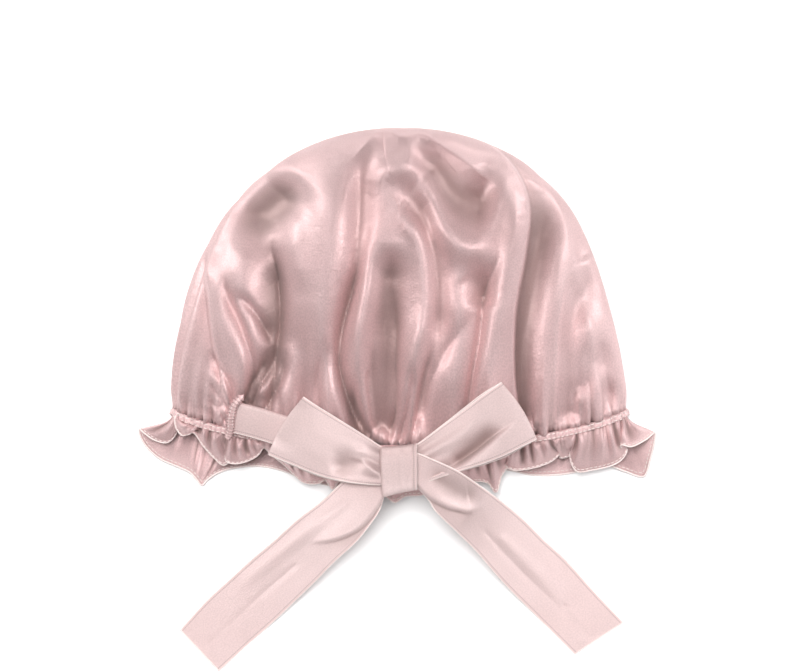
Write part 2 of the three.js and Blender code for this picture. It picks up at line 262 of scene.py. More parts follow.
def cloth_wall(
    grid: Array,
    uv: Array,
    thickness: float,
    ring: bool = False,
    pole: Array | None = None,
    hollow: Array | None = None,
) -> Shell:
    """Gives a sheet its thickness: the sheet, a copy of it inside, and strips round the open edges.

    Args:
        grid: the sheet's points, rows by columns by three.
        uv: places on the cloth, rows by columns by two, with one column more on a ring.
        thickness: the wall, in millimetres, half to each side.
        ring: whether the sheet is closed round its columns.
        pole: the point that closes the last row, if it is closed.
        hollow: the shade painted at each point of the grid, from 0 to 1, most deep in folds.

    Returns:
        The closed shell, its inner faces with the second finish.
    """
    rows, across = grid.shape[0] - 1, grid.shape[1]
    columns = across if ring else across - 1
    shift = grid_normals(grid, ring) * thickness / 2
    points = np.concatenate([(grid + shift).reshape(-1, 3), (grid - shift).reshape(-1, 3)])
    inner = (rows + 1) * across
    face, jj, ii = corner_grid(rows, columns, across)
    face_uv = uv[jj, ii]
    quads, quad_uv = [face, face[:, ::-1] + inner], [face_uv, face_uv[:, ::-1]]

    def strip(edge: Array, edge_uv: Array) -> None:
        """Joins the two walls along an open edge."""
        a, b = edge[:-1], edge[1:]
        quads.append(np.stack([a, b, b + inner, a + inner], axis=1))
        quad_uv.append(np.stack([edge_uv[:-1], edge_uv[1:], edge_uv[1:], edge_uv[:-1]], axis=1))

    steps = np.arange(columns + 1)
    strip(steps % across, uv[0, steps])
    triangles, triangle_uv = np.zeros((0, 3), int), np.zeros((0, 3, 2))
    if pole is None:
        strip((rows * across + steps % across)[::-1], uv[rows, steps][::-1])
    else:
        out = unit(pole - grid[-1].mean(axis=0)) * thickness / 2
        points = np.concatenate([points, [pole + out, pole - out]])
        last = rows * across + steps % across
        cap = np.stack([last[:-1], np.full(columns, 2 * inner), last[1:]], axis=1)
        cap_inner = np.stack([last[:-1] + inner, last[1:] + inner, np.full(columns, 2 * inner + 1)], axis=1)
        cap_uv = np.stack([uv[rows, steps[:-1]], uv[rows, steps[:-1]], uv[rows, steps[1:]]], axis=1)
        triangles = np.concatenate([cap, cap_inner])
        triangle_uv = np.concatenate([cap_uv, cap_uv[:, [0, 2, 1]]])
    if not ring:
        side = np.arange(rows + 1) * across
        strip(side[::-1], uv[::-1, 0])
        strip(side + across - 1, uv[:, -1])
    all_quads = np.concatenate(quads)
    finish = np.zeros(len(all_quads), int)
    finish[len(face) : 2 * len(face)] = 1
    depth = None
    if hollow is not None:
        depth = np.zeros(len(points))
        depth[: 2 * inner] = np.tile(hollow.ravel(), 2)
    all_uv = np.concatenate(quad_uv)
    return Shell(points, all_quads, all_uv, triangles, triangle_uv, finish, depth).facing_out()


def tube(path: Array, radius: Array, sides: int = 6, closed: bool = False, squash: float = 1.0) -> Shell:
    """Carries a round section along a path, square to it, and closes its ends to points.

    Args:
        path: the path's points.
        radius: the section's radius at each of them, in millimetres.
        sides: corners of the section.
        closed: whether the path is a loop.
        squash: the section's height over its breadth.

    Returns:
        The closed shell.
    """
    if closed:
        way = unit(np.roll(path, -1, axis=0) - np.roll(path, 1, axis=0))
    else:
        way = unit(np.gradient(path, axis=0))
    side = unit(np.cross(way, np.where(np.abs(way[:, 2:3]) > 0.95, [[1.0, 0, 0]], [[0, 0, 1.0]])))
    up = np.cross(side, way)
    turn = 2 * np.pi * np.arange(sides) / sides
    radius = np.broadcast_to(radius, (len(path),)).copy()
    if not closed:
        path = np.concatenate([path[:1] - way[:1] * radius[0], path, path[-1:] + way[-1:] * radius[-1]])
        side, up = (np.concatenate([v[:1], v, v[-1:]]) for v in (side, up))
        radius = np.r_[radius[0] * 0.05, radius, radius[-1] * 0.05]
    ring = np.cos(turn)[:, None] * side[:, None] + squash * np.sin(turn)[:, None] * up[:, None]
    points = (path[:, None] + radius[:, None, None] * ring).reshape(-1, 3)
    rows = len(path) - (0 if closed else 1)
    quads, jj, ii = corner_grid(rows, sides, sides)
    quads = quads % len(points)
    length = np.r_[travelled(path), 0.0]
    uv = np.stack([length[np.minimum(jj, len(length) - 1)], ii / sides], axis=-1) * MM
    shell = Shell(points, quads, uv)
    if not closed:
        caps = []
        corner = np.arange(1, sides - 1)
        for first, flip in ((0, 1), (len(points) - sides, -1)):
            fan = first + np.stack([np.zeros_like(corner), corner, corner + 1], axis=1)
            caps.append(fan[:, ::flip])
        shell.triangles = np.concatenate(caps)
        shell.triangle_uv = np.zeros((len(shell.triangles), 3, 2))
    return shell.facing_out()


def stitches(
    path: Array, length: float, gap: float, thread: float, lift: Array, closed: bool = False
) -> list[Shell]:
    """A row of sewn stitches along a path, each a short thread sunk at both ends.

    Args:
        path: the seam's line.
        length: each stitch's length, in millimetres.
        gap: the space between stitches.
        thread: the thread's radius.
        lift: the direction away from the cloth, one for each point of the path.
        closed: whether the seam is a loop.

    Returns:
        One shell that holds every stitch, in a list.
    """
    seam = np.concatenate([path, path[:1]]) if closed else path
    away = np.concatenate([lift, lift[:1]]) if closed else lift
    gone = travelled(seam)
    count = int(gone[-1] / (length + gap))
    start = np.arange(count) * (gone[-1] / count)
    share = np.array([0.0, 0.25, 0.75, 1.0])
    at = start[:, None] + share[None] * length
    sunk, proud = -0.4, 0.9
    out = unit(read_path(at, gone, away))
    middle = read_path(at, gone, seam) + out * (thread * np.array([sunk, proud, proud, sunk]))[None, :, None]
    way = unit(middle[:, -1:] - middle[:, :1])
    side = unit(np.cross(way, out))
    sides = 4
    turn = 2 * np.pi * (np.arange(sides) + 0.5) / sides
    ring = np.cos(turn)[:, None] * side[:, :, None] + np.sin(turn)[:, None] * out[:, :, None]
    points = (middle[:, :, None] + thread * ring).reshape(-1, 3)
    per = 4 * sides
    quads, _, _ = corner_grid(3, sides, sides)
    ends = np.array([[0, 1, 2, 3], [per - 1, per - 2, per - 3, per - 4]])
    template = np.concatenate([quads, ends[:, ::-1]])
    faces = (template[None] + per * np.arange(count)[:, None, None]).reshape(-1, 4)
    return [Shell(points, faces, np.zeros((len(faces), 4, 2))).facing_out()]


def make_piece(name: str, shells: list[Shell], finishes: list[Material], node: str) -> Piece:
    """Joins shells into one smooth mesh at the origin and fixes it to the bonnet, then logs it.

    Its UV map is its places on the cloth, and its attribute hollow says how much shade to paint into its
    colour, most deep in folds.

    Args:
        name: the piece's name.
        shells: the shells that it is made of.
        finishes: the outer finish, and the inner one if there is another.
        node: the frame node that it stands for.

    Returns:
        The piece.
    """
    counts = [len(shell.points) for shell in shells]
    first = np.r_[0, np.cumsum(counts)]
    quads = np.concatenate([shell.quads + start for shell, start in zip(shells, first)])
    triangles = np.concatenate([shell.triangles + start for shell, start in zip(shells, first)])
    mesh = bpy.data.meshes.new(name)
    points = np.concatenate([shell.points for shell in shells]) * MM
    mesh.from_pydata(points.tolist(), [], quads.tolist() + triangles.tolist())
    uv = [shell.quad_uv for shell in shells] + [shell.triangle_uv for shell in shells]
    uv = np.concatenate([part.reshape(-1, 2) for part in uv])
    mesh.uv_layers.new(name="cloth").data.foreach_set("uv", uv.ravel())
    for finish in finishes:
        mesh.materials.append(finish)
    # The attribute hollow holds the shade painted into the colour at each point, from 0 to 1.
    depth = [np.zeros(len(shell.points)) if shell.hollow is None else shell.hollow for shell in shells]
    hollow = mesh.attributes.new("hollow", "FLOAT", "POINT")
    hollow.data.foreach_set("value", np.concatenate(depth).astype(np.float32))
    sides = [np.zeros(len(s.quads), int) if s.quad_finish is None else s.quad_finish for s in shells]
    slots = np.minimum(np.concatenate(sides), len(finishes) - 1)
    mesh.polygons.foreach_set("material_index", np.r_[slots, np.zeros(len(triangles), int)])
    mesh.polygons.foreach_set("use_smooth", np.ones(len(quads) + len(triangles), bool))
    mesh.update()
    piece = bpy.data.objects.new(name, mesh)
    bpy.context.scene.collection.objects.link(piece)
    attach(piece, "root")
    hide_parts(node)
    log.info("%s: %d points, stands for %s", name, len(points), node)
    return piece


def node_box(node: str) -> tuple[Array, Array]:
    """A node's lowest and highest corners, in millimetres."""
    low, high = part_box(node)
    return np.array(low) / MM, np.array(high) / MM


# ---------------------------------------------------------------- finishes


class Nodes:
    """A short way to lay out one material's nodes."""

    def __init__(self, name: str) -> None:
        """Starts an empty material with its output and its Principled shader.

        Args:
            name: the material's name.
        """
        self.material = bpy.data.materials.new(name)
        self.material.use_nodes = True
        self.tree = self.material.node_tree
        self.tree.nodes.clear()
        self.output = self.tree.nodes.new("ShaderNodeOutputMaterial")
        self.shader = self.tree.nodes.new("ShaderNodeBsdfPrincipled")
        self.link(self.shader.outputs[0], self.output.inputs["Surface"])

    def add(self, kind: str, inputs: dict | None = None, **settings: object) -> bpy.types.Node:
        """Adds a node.

        Args:
            kind: the node's type, without the word ShaderNode.
            inputs: socket names or numbers, each with a value or another node's socket.
            **settings: the node's own properties.

        Returns:
            The new node.
        """
        node = self.tree.nodes.new("ShaderNode" + kind)
        for key, value in settings.items():
            setattr(node, key, value)
        for key, value in (inputs or {}).items():
            if isinstance(value, Socket):
                self.link(value, node.inputs[key])
            else:
                node.inputs[key].default_value = value
        return node

    def link(self, source: Socket, target: Socket) -> None:
        """Joins two sockets."""
        self.tree.links.new(source, target)

    def set(self, **values: object) -> None:
        """Sets the shader's own sockets, with a low dash for each space in their names."""
        for key, value in values.items():
            self.shader.inputs[key.replace("_", " ")].default_value = value

    def cloth_places(self, period: float) -> Socket:
        """Places on the cloth, scaled so that one unit is a period in millimetres."""
        places = self.add("UVMap", uv_map="cloth")
        scale = 1.0 / (period * MM)
        return self.add("Mapping", {"Vector": places.outputs[0], "Scale": (scale, scale, scale)}).outputs[0]

    def object_noise(self, size: float, detail: float) -> Socket:
        """Cloudy values over the piece in its own coordinates, size in millimetres."""
        places = self.add("TexCoord")
        values = {"Vector": places.outputs["Object"], "Scale": 1.0 / (size * MM), "Detail": detail}
        return self.add("TexNoise", values).outputs["Fac"]

    def mix(self, share: Socket, a: object, b: object) -> Socket:
        """Mixes two colours."""
        return self.add("Mix", {0: share, 6: a, 7: b}, data_type="RGBA").outputs[2]

    def spread(self, value: Socket, low: float, high: float, to: tuple[float, float]) -> Socket:
        """Maps a value's range from low to high onto another range."""
        inputs = {"Value": value, "From Min": low, "From Max": high, "To Min": to[0], "To Max": to[1]}
        return self.add("MapRange", inputs).outputs[0]


@dataclass(frozen=True)
class SatinFinish:
    """Satin: fine threads that float along the cloth, a soft gloss across them and a grainy sparkle."""

    name: str
    face: Colour
    deep: Colour
    roughness: float = 0.52
    sheen: float = 0.08
    lustre: float = 0.6
    grain: float = 0.45
    flecks: float = 0.45
    # hollow is a painted shade colour: the satin darkens towards it deep in folds, in troughs and where it
    # tucks under.
    hollow: Colour = (0.33, 0.225, 0.21, 1.0)
    painted_shade_depth: float = 0.82
    thread_mm: float = 0.42
    crinkle: float = 0.13
    selvedge_mm: float = 0.0
    width_mm: float = 34.0
    weave_depth: float = 0.00015
    crinkle_depth: float = 0.0035

    def material(self) -> Material:
        """Colour drifts over the cloth and from thread to thread, and shade is painted into its folds;
        bump is threads, slubs and crinkles.

        Returns:
            The finished material.
        """
        n = Nodes(self.name)
        clouds = n.spread(n.object_noise(38.0, 2.0), 0.35, 0.65, (0.0, 0.55))
        colour = n.mix(clouds, self.face, self.deep)
        places = n.cloth_places(1.0)
        stretched = n.add("Mapping", {"Vector": places, "Scale": (2.4, 0.5, 1.0)}).outputs[0]
        slubs = n.add("TexNoise", {"Vector": stretched, "Scale": 1.6, "Detail": 3.0}).outputs["Fac"]
        slub_share = n.spread(slubs, 0.3, 0.7, (0.0, self.grain))
        colour = n.mix(slub_share, colour, self.deep)
        weave = {"Vector": places, "Scale": 1.0 / (6.283 * self.thread_mm) * 3.14, "Distortion": 0.6}
        weave.update({"Detail": 1.0, "Detail Scale": 2.0})
        threads = n.add("TexWave", weave, bands_direction="X").outputs["Fac"]
        grains = n.add("TexNoise", {"Vector": places, "Scale": 1.05, "Detail": 2.0}).outputs["Fac"]
        fleck = tuple(c * 0.8 for c in self.deep[:3]) + (1.0,)
        colour = n.mix(n.spread(grains, 0.36, 0.64, (0.0, self.flecks)), colour, fleck)
        height = n.add("Math", {0: threads, 1: slubs}, operation="ADD").outputs[0]
        height = n.add("Math", {0: grains, 1: 2.0, 2: height}, operation="MULTIPLY_ADD").outputs[0]
        bump = n.add("Bump", {"Height": height, "Strength": 0.75, "Distance": self.weave_depth})
        creased = {"Vector": places, "Scale": 0.16, "Detail": 4.0, "Roughness": 0.55}
        crinkles = n.add("TexNoise", creased).outputs["Fac"]
        uneven = {"Height": crinkles, "Normal": bump.outputs[0], "Strength": self.crinkle}
        soft = n.add("Bump", {**uneven, "Distance": self.crinkle_depth})
        # Painted shade: the colour is mixed towards the hollow colour as far as the attribute hollow says.
        hollow = n.add("Attribute", attribute_name="hollow", attribute_type="GEOMETRY").outputs["Fac"]
        colour = n.mix(n.spread(hollow, 0.0, 1.0, (0.0, self.painted_shade_depth)), colour, self.hollow)
        rough = n.spread(slubs, 0.2, 0.8, (self.roughness - 0.05, self.roughness + 0.07))
        if self.selvedge_mm:
            colour, rough = self._selvedge(n, colour, rough)
        n.link(colour, n.shader.inputs["Base Color"])
        n.link(rough, n.shader.inputs["Roughness"])
        n.link(soft.outputs[0], n.shader.inputs["Normal"])
        tangent = n.add("Tangent", direction_type="UV_MAP", uv_map="cloth").outputs[0]
        n.link(tangent, n.shader.inputs["Tangent"])
        n.set(Anisotropic=0.3, Metallic=self.lustre, Specular_IOR_Level=0.85, Sheen_Weight=self.sheen)
        n.set(Sheen_Roughness=0.4, Sheen_Tint=(1.0, 0.93, 0.92, 1.0))
        return n.material

    def _selvedge(self, n: Nodes, colour: Socket, rough: Socket) -> tuple[Socket, Socket]:
        """Woven edges: a matt, slightly darker line of small loops just inside each edge of the ribbon.

        Args:
            n: the material's nodes.
            colour: the satin's colour so far.
            rough: its roughness so far.

        Returns:
            Both with the edges put in.
        """
        across = n.add("SeparateXYZ", {0: n.cloth_places(1.0)}).outputs
        half = self.width_mm / 2
        from_middle = n.add("Math", {0: across[1], 1: half}, operation="SUBTRACT").outputs[0]
        distance = n.add("Math", {0: from_middle}, operation="ABSOLUTE").outputs[0]
        inside = half - self.selvedge_mm
        edge = n.spread(distance, inside - 0.25, inside + 0.15, (0.0, 1.0))
        line = n.add("Math", {0: distance, 1: inside}, operation="COMPARE")
        line.inputs[2].default_value = 0.28
        loops = n.add("Math", {0: across[0], 1: 2 * math.pi / 1.15}, operation="MULTIPLY").outputs[0]
        waves = n.spread(n.add("Math", {0: loops}, operation="SINE").outputs[0], -1.0, 1.0, (0.25, 0.95))
        dark = n.add("Math", {0: line.outputs[0], 1: waves}, operation="MULTIPLY").outputs[0]
        shade = tuple(c * 0.62 for c in self.deep[:3]) + (1.0,)
        colour = n.mix(n.spread(edge, 0.0, 1.0, (0.0, 0.5)), colour, self.deep)
        colour = n.mix(dark, colour, shade)
        rougher = n.spread(edge, 0.0, 1.0, (0.0, 0.22))
        return colour, n.add("Math", {0: rough, 1: rougher}, operation="ADD").outputs[0]


@dataclass(frozen=True)
class ThreadFinish:
    """Sewing thread: matt, with a fine twist."""

    name: str
    colour: Colour

    def material(self) -> Material:
        """A speckled matt colour with a fine bump.

        Returns:
            The finished material.
        """
        n = Nodes(self.name)
        speckle = n.object_noise(0.7, 2.0)
        shade = tuple(c * 0.72 for c in self.colour[:3]) + (1.0,)
        colour = n.mix(n.spread(speckle, 0.35, 0.65, (0.0, 0.5)), self.colour, shade)
        n.link(colour, n.shader.inputs["Base Color"])
        bump = n.add("Bump", {"Height": speckle, "Strength": 0.4, "Distance": 0.0002})
        n.link(bump.outputs[0], n.shader.inputs["Normal"])
        n.set(Roughness=0.62, Sheen_Weight=0.15)
        return n.material


@dataclass(frozen=True)
class FloorFinish:
    """A plain pale table."""

    name: str = "pale_table"
    colour: Colour = (0.96, 0.96, 0.96, 1.0)

    def material(self) -> Material:
        """Matt white with a very faint unevenness.

        Returns:
            The finished material.
        """
        n = Nodes(self.name)
        clouds = n.spread(n.object_noise(220.0, 1.0), 0.3, 0.7, (0.0, 1.0))
        warm = tuple(c * 0.99 for c in self.colour[:3]) + (1.0,)
        n.link(n.mix(clouds, self.colour, warm), n.shader.inputs["Base Color"])
        n.set(Roughness=0.9, Specular_IOR_Level=0.1)
        return n.material


@dataclass(frozen=True)
class Wardrobe:
    """The materials of the whole bonnet."""

    satin: Material
    satin_reverse: Material
    ribbon: Material
    edge_thread: Material

    @staticmethod
    def make() -> "Wardrobe":
        """Dusty pink satin, its duller reverse, paler ribbon, and a pale thread.

        Returns:
            The bonnet's materials.
        """
        pink, deep_pink = (0.84, 0.615, 0.612, 1.0), (0.72, 0.49, 0.488, 1.0)
        pale, deep_pale = (0.825, 0.642, 0.63, 1.0), (0.78, 0.59, 0.575, 1.0)
        dull = (0.68, 0.5, 0.49, 1.0)
        ribbon = dict(face=pale, deep=deep_pale, roughness=0.5, lustre=0.25, crinkle=0.05, selvedge_mm=1.3)
        return Wardrobe(
            satin=SatinFinish("dusty_pink_satin", pink, deep_pink).material(),
            satin_reverse=SatinFinish("dusty_pink_reverse", dull, deep_pink, 0.6, 0.1, 0.0).material(),
            ribbon=SatinFinish("pale_pink_ribbon", width_mm=34.0, **ribbon).material(),
            edge_thread=ThreadFinish("pale_edge_thread", (0.86, 0.73, 0.70, 1.0)).material(),
        )


# ---------------------------------------------------------------- the bonnet's form


class FoldKind(Enum):
    """How a fold looks in section."""

    ROUND = "a rounded ridge or hollow"
    SHARP = "a crease with straight sides"
    LAP = "one side stands over the other"


@dataclass(frozen=True)
class Fold:
    """A fold of the crown's face along a path in plan, from its foot at the mouth to its head.

    rise is its height, below zero in a valley. On a LAP the side on the path's left stands over the
    right when rise is above zero. width is half its breadth, all in millimetres.
    """

    name: str
    kind: FoldKind
    width: float
    rise: float
    path: tuple[tuple[float, float], ...]
    head: float = 0.3

    def lift(self, x: Array, y: Array) -> Array:
        """Height at each place.

        ROUND is a bell over the distance, SHARP an exponential with its tip rounded, and LAP an
        exponential that changes sign within a millimetre. Each eases to nothing at its head.

        Args:
            x: places across, in millimetres.
            y: places up the crown, in millimetres.

        Returns:
            The heights, in millimetres, in the places' own shape.
        """
        distance, along = across_path(x, y, curve_through(self.path, 28))
        width = self.width * (0.75 + 0.25 * smooth(along * 3))
        if self.kind is FoldKind.ROUND:
            form = np.exp(-((distance / width) ** 2))
        elif self.kind is FoldKind.SHARP:
            form = np.exp(-(np.sqrt(distance**2 + 0.5) - 0.7) / width)
        else:
            form = 0.5 * np.tanh(distance / 0.9) * np.exp(-np.abs(distance) / width)
        foot = smooth(along / 0.3 if self.path[0][1] > -58 else np.ones_like(along))
        return self.rise * form * smooth((1.0 - along) / self.head) * foot


R, S, L = FoldKind.ROUND, FoldKind.SHARP, FoldKind.LAP
FOLDS = (
    Fold("side lap", L, 6, -9,
         ((-99, -72), (-105.4, -43), (-109, -25), (-111, -7), (-111, 18), (-104, 36))),
    Fold("side swell", R, 8.8, 2.5, ((-120, -60), (-121, -30), (-119, 0), (-114, 26))),
    Fold("ear ridge", R, 5.6, 5, ((-89, -66), (-93, -44), (-100, -22), (-105, 2), (-106, 22))),
    Fold("second ear valley", S, 3, -6.0, ((-88, -68), (-85, -45), (-92, -24), (-99, -6), (-102, 10))),
    Fold("temple ridge", R, 8.8, 4.5, ((-82, -58), (-83, -42), (-88, -22), (-93, 8), (-95, 30))),
    Fold("knuckle ridge", R, 3.2, 5, ((-89, -72), (-82, -62), (-75, -50), (-71, -36))),
    Fold("upper knuckle line", S, 1.8, -6, ((-93, -72), (-87, -58), (-80, -47), (-76, -36))),
    Fold("lower knuckle line", S, 1.8, -6, ((-82, -76), (-74, -64), (-68, -52), (-66, -36))),
    Fold("slot pleat", S, 1.8, -5, ((-97, -74), (-98, -60), (-104, -46), (-110, -38))),
    Fold("slot pleat ridge", R, 3, 3.5, ((-101, -74), (-103, -60), (-110, -48))),
    Fold("temple crease", S, 2.6, -5.5, ((-73, -36), (-82, -18), (-90, -9), (-97, -3))),
    Fold("deep valley", R, 10, -11,
         ((-87, -68), (-82, -60), (-75, -43), (-72, -25), (-72, -7), (-73, 8), (-75, 20), (-76, 36)), 0.4),
    Fold("deep crease", S, 2.4, -8,
         ((-87, -70), (-82, -60), (-73, -43), (-69, -25), (-69, -7), (-71, 8), (-74, 20), (-75, 30)), 0.3),
    Fold("deep valley lap", L, 8, -5.0, ((-73, -41), (-69, -27), (-69, -8), (-71, 8), (-72, 16))),
    Fold("valley foot", S, 2.4, -6.5, ((-76, -76), (-74, -56), (-70, -36))),
    Fold("temple hollow", R, 15, -14, ((-56, 62), (-66, 50), (-80, 38), (-96, 18)), 0.5),
    Fold("temple rim", R, 8.8, 3.5, ((-108, 20), (-98, 44), (-80, 62), (-58, 76))),
    Fold("temple wedge", R, 6.2, 3.5, ((-54, -6), (-60, 14), (-60, 32), (-54, 52))),
    Fold("brow ridge", R, 13.8, 7.5, ((-44, -72), (-44, -40), (-44, -8), (-42, 16), (-40, 50), (-34, 80))),
    Fold("cheek dent", R, 8.8, -7, ((-56, -74), (-55, -48), (-56, -28), (-50, -10)), 0.5),
    Fold("cheek streak", R, 5, 3, ((-63, -74), (-62, -48), (-61, -28))),
    Fold("jaw dent", S, 3, -7, ((-47, -78), (-48, -60), (-46, -42), (-42, -30)), 0.5),
    Fold("panel crease", S, 2.2, -7,
         ((-21, -92), (-29, -68), (-36, -43), (-34, -25), (-29, -7), (-25, 10), (-24, 30)), 0.3),
    Fold("panel valley", R, 7.5, -9,
         ((-21, -90), (-29, -66), (-35, -43), (-33, -25), (-28, -7), (-24, 12), (-23, 36), (-21, 61),
          (-14, 84)), 0.2),
    Fold("panel pocket", L, 6, -6, ((-35, -40), (-32, -22), (-28, -7), (-24, 14)), 0.4),
    Fold("arch, left leg", R, 5.6, 8,
         ((-18, -86), (-25, -56), (-25, -30), (-21, -4), (-19, 14), (-15, 28), (-5, 37))),
    Fold("arch, right leg", R, 5.6, 8,
         ((7, -88), (5, -60), (8, -38), (14, -14), (14, 8), (10, 26), (2, 36), (-7, 37)), 0.15),
    Fold("arch hollow", R, 8.5, -12, ((-12, -80), (-11, -40), (-7, -10), (-5, 24)), 0.2),
    Fold("centre valley", S, 2.4, -7.5, ((-8, -93), (-5, -80), (-3, -71), (-3, -50), (-3, -16), (-5, 0))),
    Fold("centre rib", R, 3.2, 3.0, ((-12, -88), (-12, -66), (-13, -44), (-13, -18))),
    Fold("centre pleat", S, 1.9, -8, ((-2, -93), (0.6, -82), (3, -73), (5, -58), (6, -42))),
    Fold("left pleat", S, 1.9, -9,
         ((-14, -93), (-18, -87), (-22, -82), (-25, -76), (-27, -62), (-26, -46)), 0.5),
    Fold("inner left pleat", S, 2.2, -4.0,
         ((-13, -93), (-16.5, -80), (-17.2, -70), (-18, -52), (-17, -34))),
    Fold("right pleat", S, 2.0, -8.5, ((5, -93), (7.5, -80), (9.5, -71), (13, -52), (18, -30))),
    Fold("inner valley", R, 7.5, -11,
         ((24, -50), (21, -22), (19, 0), (16, 22), (9, 44), (-2, 51), (-12, 46)), 0.3),
    Fold("outer arch", R, 7.5, 6.5,
         ((-17, 46), (-12, 60), (-1, 66), (11, 61), (17, 48), (24, 30), (36, 20), (54, 22)), 0.2),
    Fold("outer arch foot", R, 11.2, 4, ((30, -74), (32, -44), (30, -16), (28, 8))),
    Fold("slope crease", S, 5, -4.5, ((10, -78), (16, -56), (26, -36), (38, -20), (46, -8)), 0.5),
    Fold("top hollow", R, 15, -13, ((2, 76), (16, 66), (32, 50), (56, 44)), 0.2),
    Fold("small hollow", R, 8.1, -7, ((46, -16), (44, -2), (41, 8), (35, 12)), 0.5),
    Fold("crest", S, 6, 6.5,
         ((-30, 68), (-20, 80), (-11, 88), (0, 83), (12, 85), (24, 77), (38, 67), (54, 54)), 0.2),
    Fold("strip valley", S, 3.4, -11, ((36, -80), (40, -50), (44, -29), (47, -7), (53, 10), (58, 26)), 0.4),
    Fold("strip ridge", R, 7.5, 6,
         ((50, -80), (49, -43), (53, -18), (58, 7), (64, 34), (56, 60), (42, 74)), 0.3),
    Fold("overlap", L, 8, 17,
         ((68, -78), (65, -54), (64, -25), (66, -4), (70.5, 21), (72.5, 43), (67, 61), (56, 75),
          (45, 83)), 0.1),
    Fold("overlap shadow", R, 10, -11, ((70, -74), (71, -30), (75, 0), (79, 22), (80, 44), (72, 64)), 0.3),
    Fold("back ridge", R, 8.8, 5, ((78, -76), (78, -40), (82, -8), (89, 22), (90, 46))),
    Fold("back crease", L, 5, 5, ((88, -78), (88, -61), (89, -36), (92, -7), (98, 8), (106, 16))),
    Fold("back valley", R, 6.2, -4.5, ((96, -74), (96, -44), (98, -22), (104, 0), (108, 16))),
    Fold("upper dent", R, 8.8, -3.5, ((94, 22), (101, 22), (108, 14))),
    Fold("edge dent", R, 8.8, -4.5, ((104, -58), (110, -42), (118, -32)), 0.5),
    Fold("edge swell", R, 10, 4, ((112, -72), (105, -36), (112, -8))),
    Fold("edge dimple", R, 5, -4, ((116, -74), (118, -62), (120, -52)), 0.5),
)


